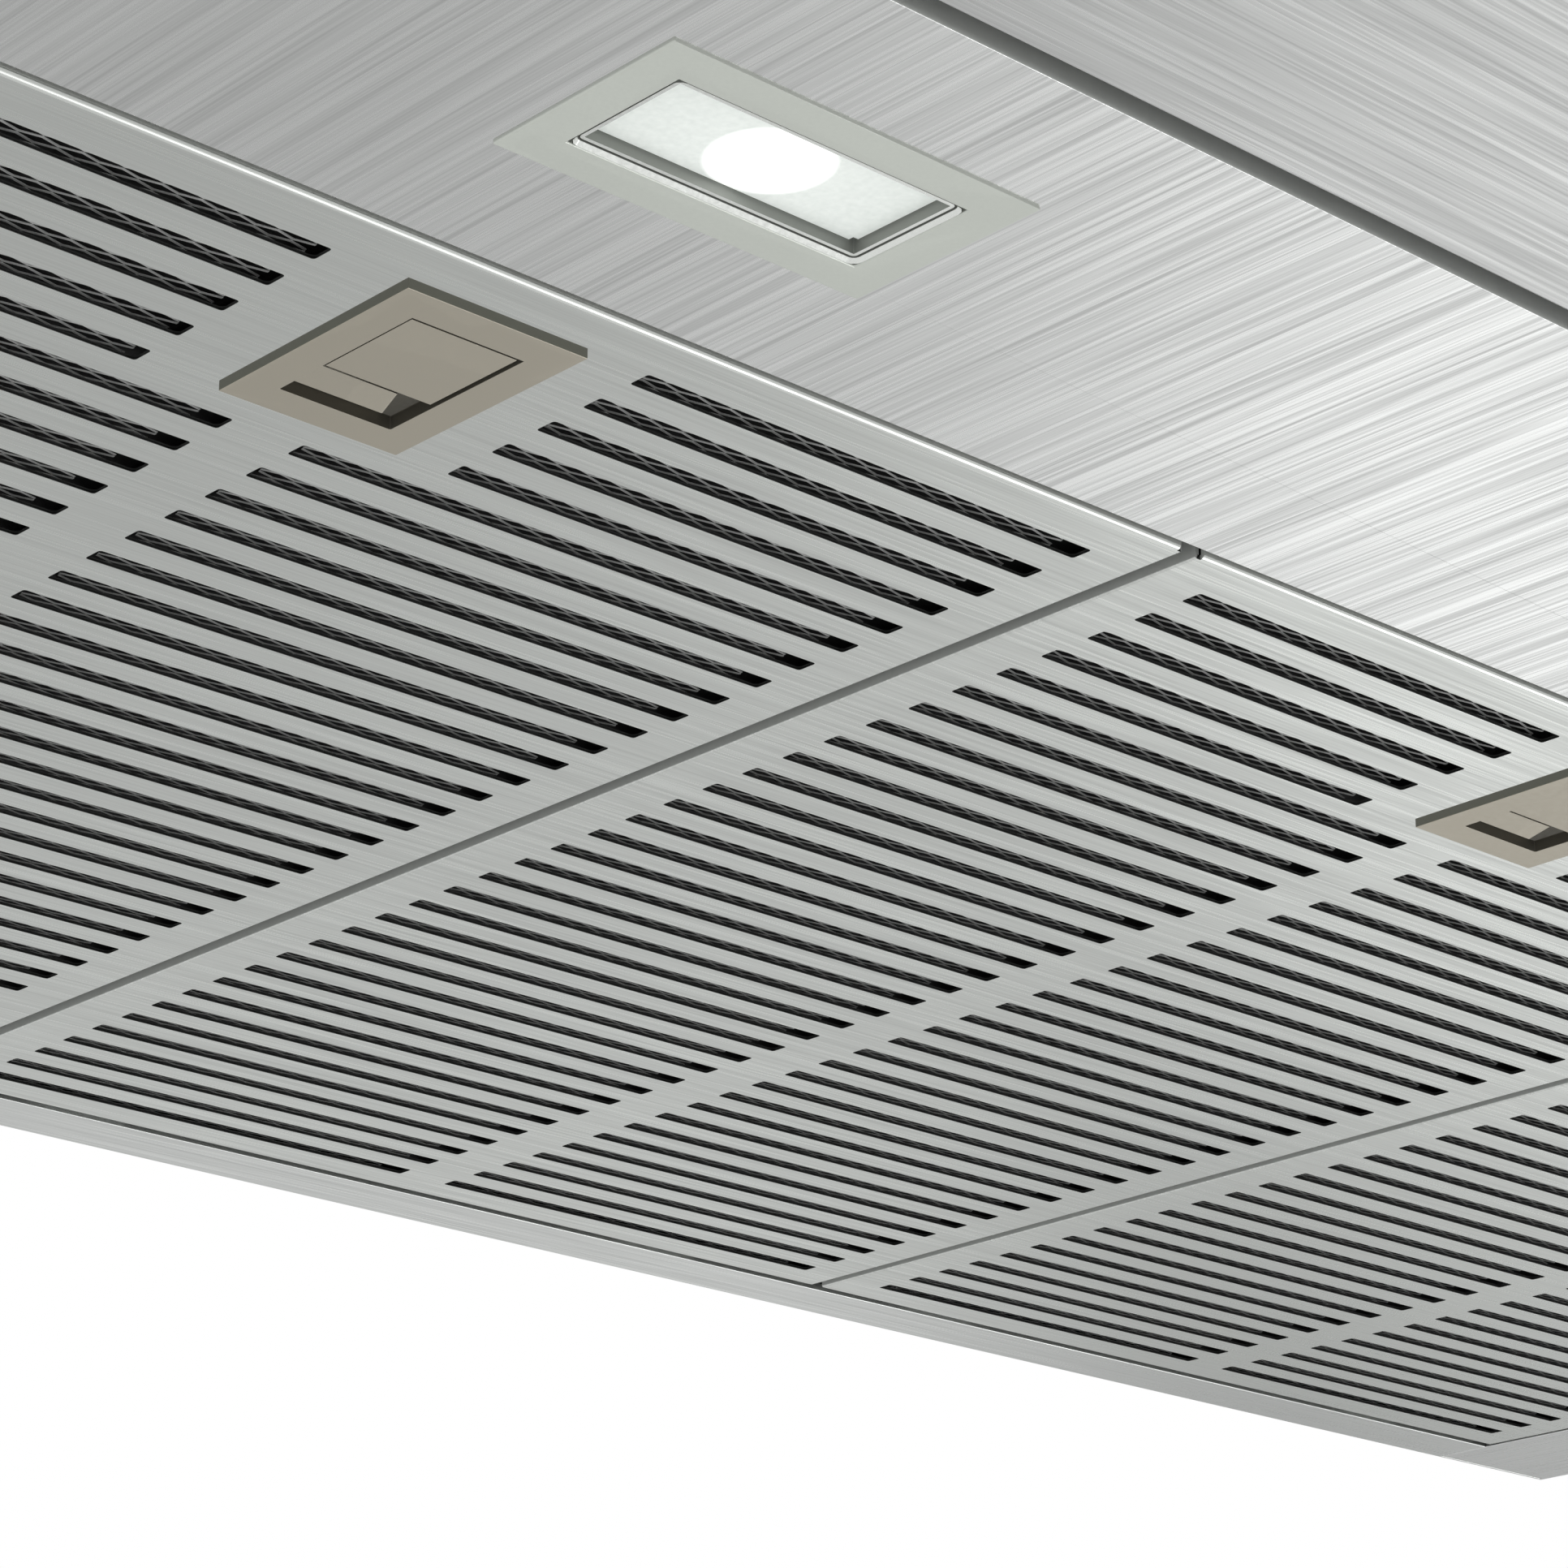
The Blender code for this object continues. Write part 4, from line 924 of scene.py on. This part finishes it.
def plain_rims(edge):
    """Full radius above the canopy's rims, none at them."""
    return float(min(vert.co.z for vert in edge.verts) > HEM_TOP)


def refine_light_panel():
    """Rounded near folds, sharp far ones, and a far flange that narrows the seam to the filters."""
    low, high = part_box("light_panel")
    middle = (low.y + high.y) / 2

    def near_edges(edge):
        """Full radius on the near side, none on the far side."""
        place = (edge.verts[0].co.y + edge.verts[1].co.y) / 2
        return float(place < middle + PANEL_NEAR_ZONE)

    def far_flange(place):
        """How far a corner is drawn out along Y."""
        return PANEL_REACH if place.y > high.y - PANEL_FLANGE else 0.0

    refined(
        "light_panel",
        PANEL_STEEL,
        fold=NEAR_FOLD,
        share=near_edges,
        wall=MILL_STEEL,
        reach=far_flange,
    )


def refine_canopy():
    refined("canopy_shell", STEEL_X, share=plain_rims)
    for side in ("left", "right"):
        refined(f"end_cap_{side}", STEEL_Y, share=plain_rims)
    refine_light_panel()
    refined("control_cover_panel", COVER_STEEL, fold=SHARP_FOLD, wall=MILL_STEEL)
    for part in ("lower", "upper"):
        refined(f"{part}_flue_cover", STEEL_Z, merge=False)
    refined("control_bezel", BLACK_PLASTIC, fold=None, edge=CONTROL_EDGE)
    for index in range(1, 6):
        refined(f"button_{index}", STEEL_X, fold=None, edge=BUTTON_EDGE)


PLAIN_FINISH = {
    "galvanised_steel": ZINC,
    "white_plastic": WHITE_PLASTIC,
    "black_plastic": BLACK_PLASTIC,
    "circuit_board": BOARD,
    "motor_grey": MOTOR_PAINT,
    "spring_steel": SPRING_STEEL,
}


def finish_inner_parts():
    """Procedural materials for the CAD nodes that stay as they are."""
    for node, obj in frame["nodes"].items():
        material = PLAIN_FINISH.get(SLOT_OF[node])
        if material:
            obj.data.materials.clear()
            obj.data.materials.append(material)


# ---------------------------------------------------------------- stage


def floor():
    """Large pale plane below the hood, left out of its reflections."""
    bm = bmesh.new()
    bmesh.ops.create_grid(bm, x_segments=1, y_segments=1, size=40)
    mesh = bpy.data.meshes.new("floor")
    bm.to_mesh(mesh)
    bm.free()
    obj = bpy.data.objects.new("floor", mesh)
    obj.location = (0, 0, FLOOR_Z)
    obj.visible_glossy = False
    bpy.context.scene.collection.objects.link(obj)
    material, nodes, links, shader = new_material("pale_floor")
    cloud = grain_at(nodes, links, (3, 3, 3), detail=3)
    tone = mixed_colour(nodes, links, cloud, (0.80, 0.80, 0.79), (0.84, 0.84, 0.83))
    links.new(tone, shader.inputs["Base Color"])
    shader.inputs["Roughness"].default_value = 0.8
    mesh.materials.append(material)


def heading(azimuth, elevation):
    """Unit vector towards a point of the surroundings."""
    a, e = math.radians(azimuth), math.radians(elevation)
    return (math.cos(e) * math.cos(a), math.cos(e) * math.sin(a), math.sin(e))


def soft_patch(nodes, links, direction, centre, full, edge, strength):
    """Brightness of a round soft light: full inside one angle, none outside the other."""
    dot = nodes.new("ShaderNodeVectorMath")
    dot.operation = "DOT_PRODUCT"
    dot.inputs[1].default_value = centre
    links.new(direction, dot.inputs[0])
    fade = nodes.new("ShaderNodeMapRange")
    fade.interpolation_type = "SMOOTHSTEP"
    fade.inputs["From Min"].default_value = math.cos(math.radians(edge))
    fade.inputs["From Max"].default_value = math.cos(math.radians(full))
    fade.inputs["To Max"].default_value = strength
    links.new(dot.outputs["Value"], fade.inputs["Value"])
    return fade.outputs["Result"]


def area_light(name, place, target, size, power):
    data = bpy.data.lights.new(name, "AREA")
    data.shape = "RECTANGLE"
    data.size, data.size_y = size
    data.energy = power
    obj = bpy.data.objects.new(name, data)
    obj.location = place
    aim = Vector(target) - Vector(place)
    obj.rotation_euler = aim.to_track_quat("-Z", "Y").to_euler()
    bpy.context.scene.collection.objects.link(obj)


def world():
    """White for the camera; for the lighting, an even studio with a few large soft lights."""
    scene_world = bpy.data.worlds.new("studio")
    bpy.context.scene.world = scene_world
    scene_world.use_nodes = True
    nodes, links = scene_world.node_tree.nodes, scene_world.node_tree.links
    nodes.clear()
    output = nodes.new("ShaderNodeOutputWorld")
    shown = nodes.new("ShaderNodeBackground")
    shown.inputs["Color"].default_value = (1, 1, 1, 1)
    lighting = nodes.new("ShaderNodeBackground")
    lighting.inputs["Color"].default_value = (0.985, 1.0, 0.985, 1)
    direction = nodes.new("ShaderNodeTexCoord").outputs["Generated"]
    total = None
    for patch in STUDIO:
        value = soft_patch(nodes, links, direction, heading(*patch[:2]), *patch[2:])
        total = value if total is None else calculate(nodes, links, "ADD", total, value)
    links.new(calculate(nodes, links, "ADD", total, AMBIENT), lighting.inputs["Strength"])
    path = nodes.new("ShaderNodeLightPath")
    mix = nodes.new("ShaderNodeMixShader")
    links.new(path.outputs["Is Camera Ray"], mix.inputs["Fac"])
    links.new(lighting.outputs["Background"], mix.inputs[1])
    links.new(shown.outputs["Background"], mix.inputs[2])
    links.new(mix.outputs["Shader"], output.inputs["Surface"])


def camera():
    data = bpy.data.cameras.new("camera")
    data.lens = LENS
    data.sensor_width = 36
    data.clip_start = 0.02
    obj = bpy.data.objects.new("camera", data)
    obj.location = CAMERA_PLACE
    tilt, turn = math.radians(90 + CAMERA_ELEVATION), math.radians(CAMERA_HEADING - 90)
    obj.rotation_euler = (tilt, 0, turn)
    bpy.context.scene.collection.objects.link(obj)
    bpy.context.scene.camera = obj


def stage():
    bpy.context.scene.view_settings.view_transform = "Standard"
    floor()
    world()
    camera()
    area_light("key", (-1.4, -2.0, 2.2), (0, 0, 0.3), (1.6, 1.6), 25)


def main():
    refine_canopy()
    refine_filters()
    refine_lamps()
    finish_inner_parts()
    stage()


main()
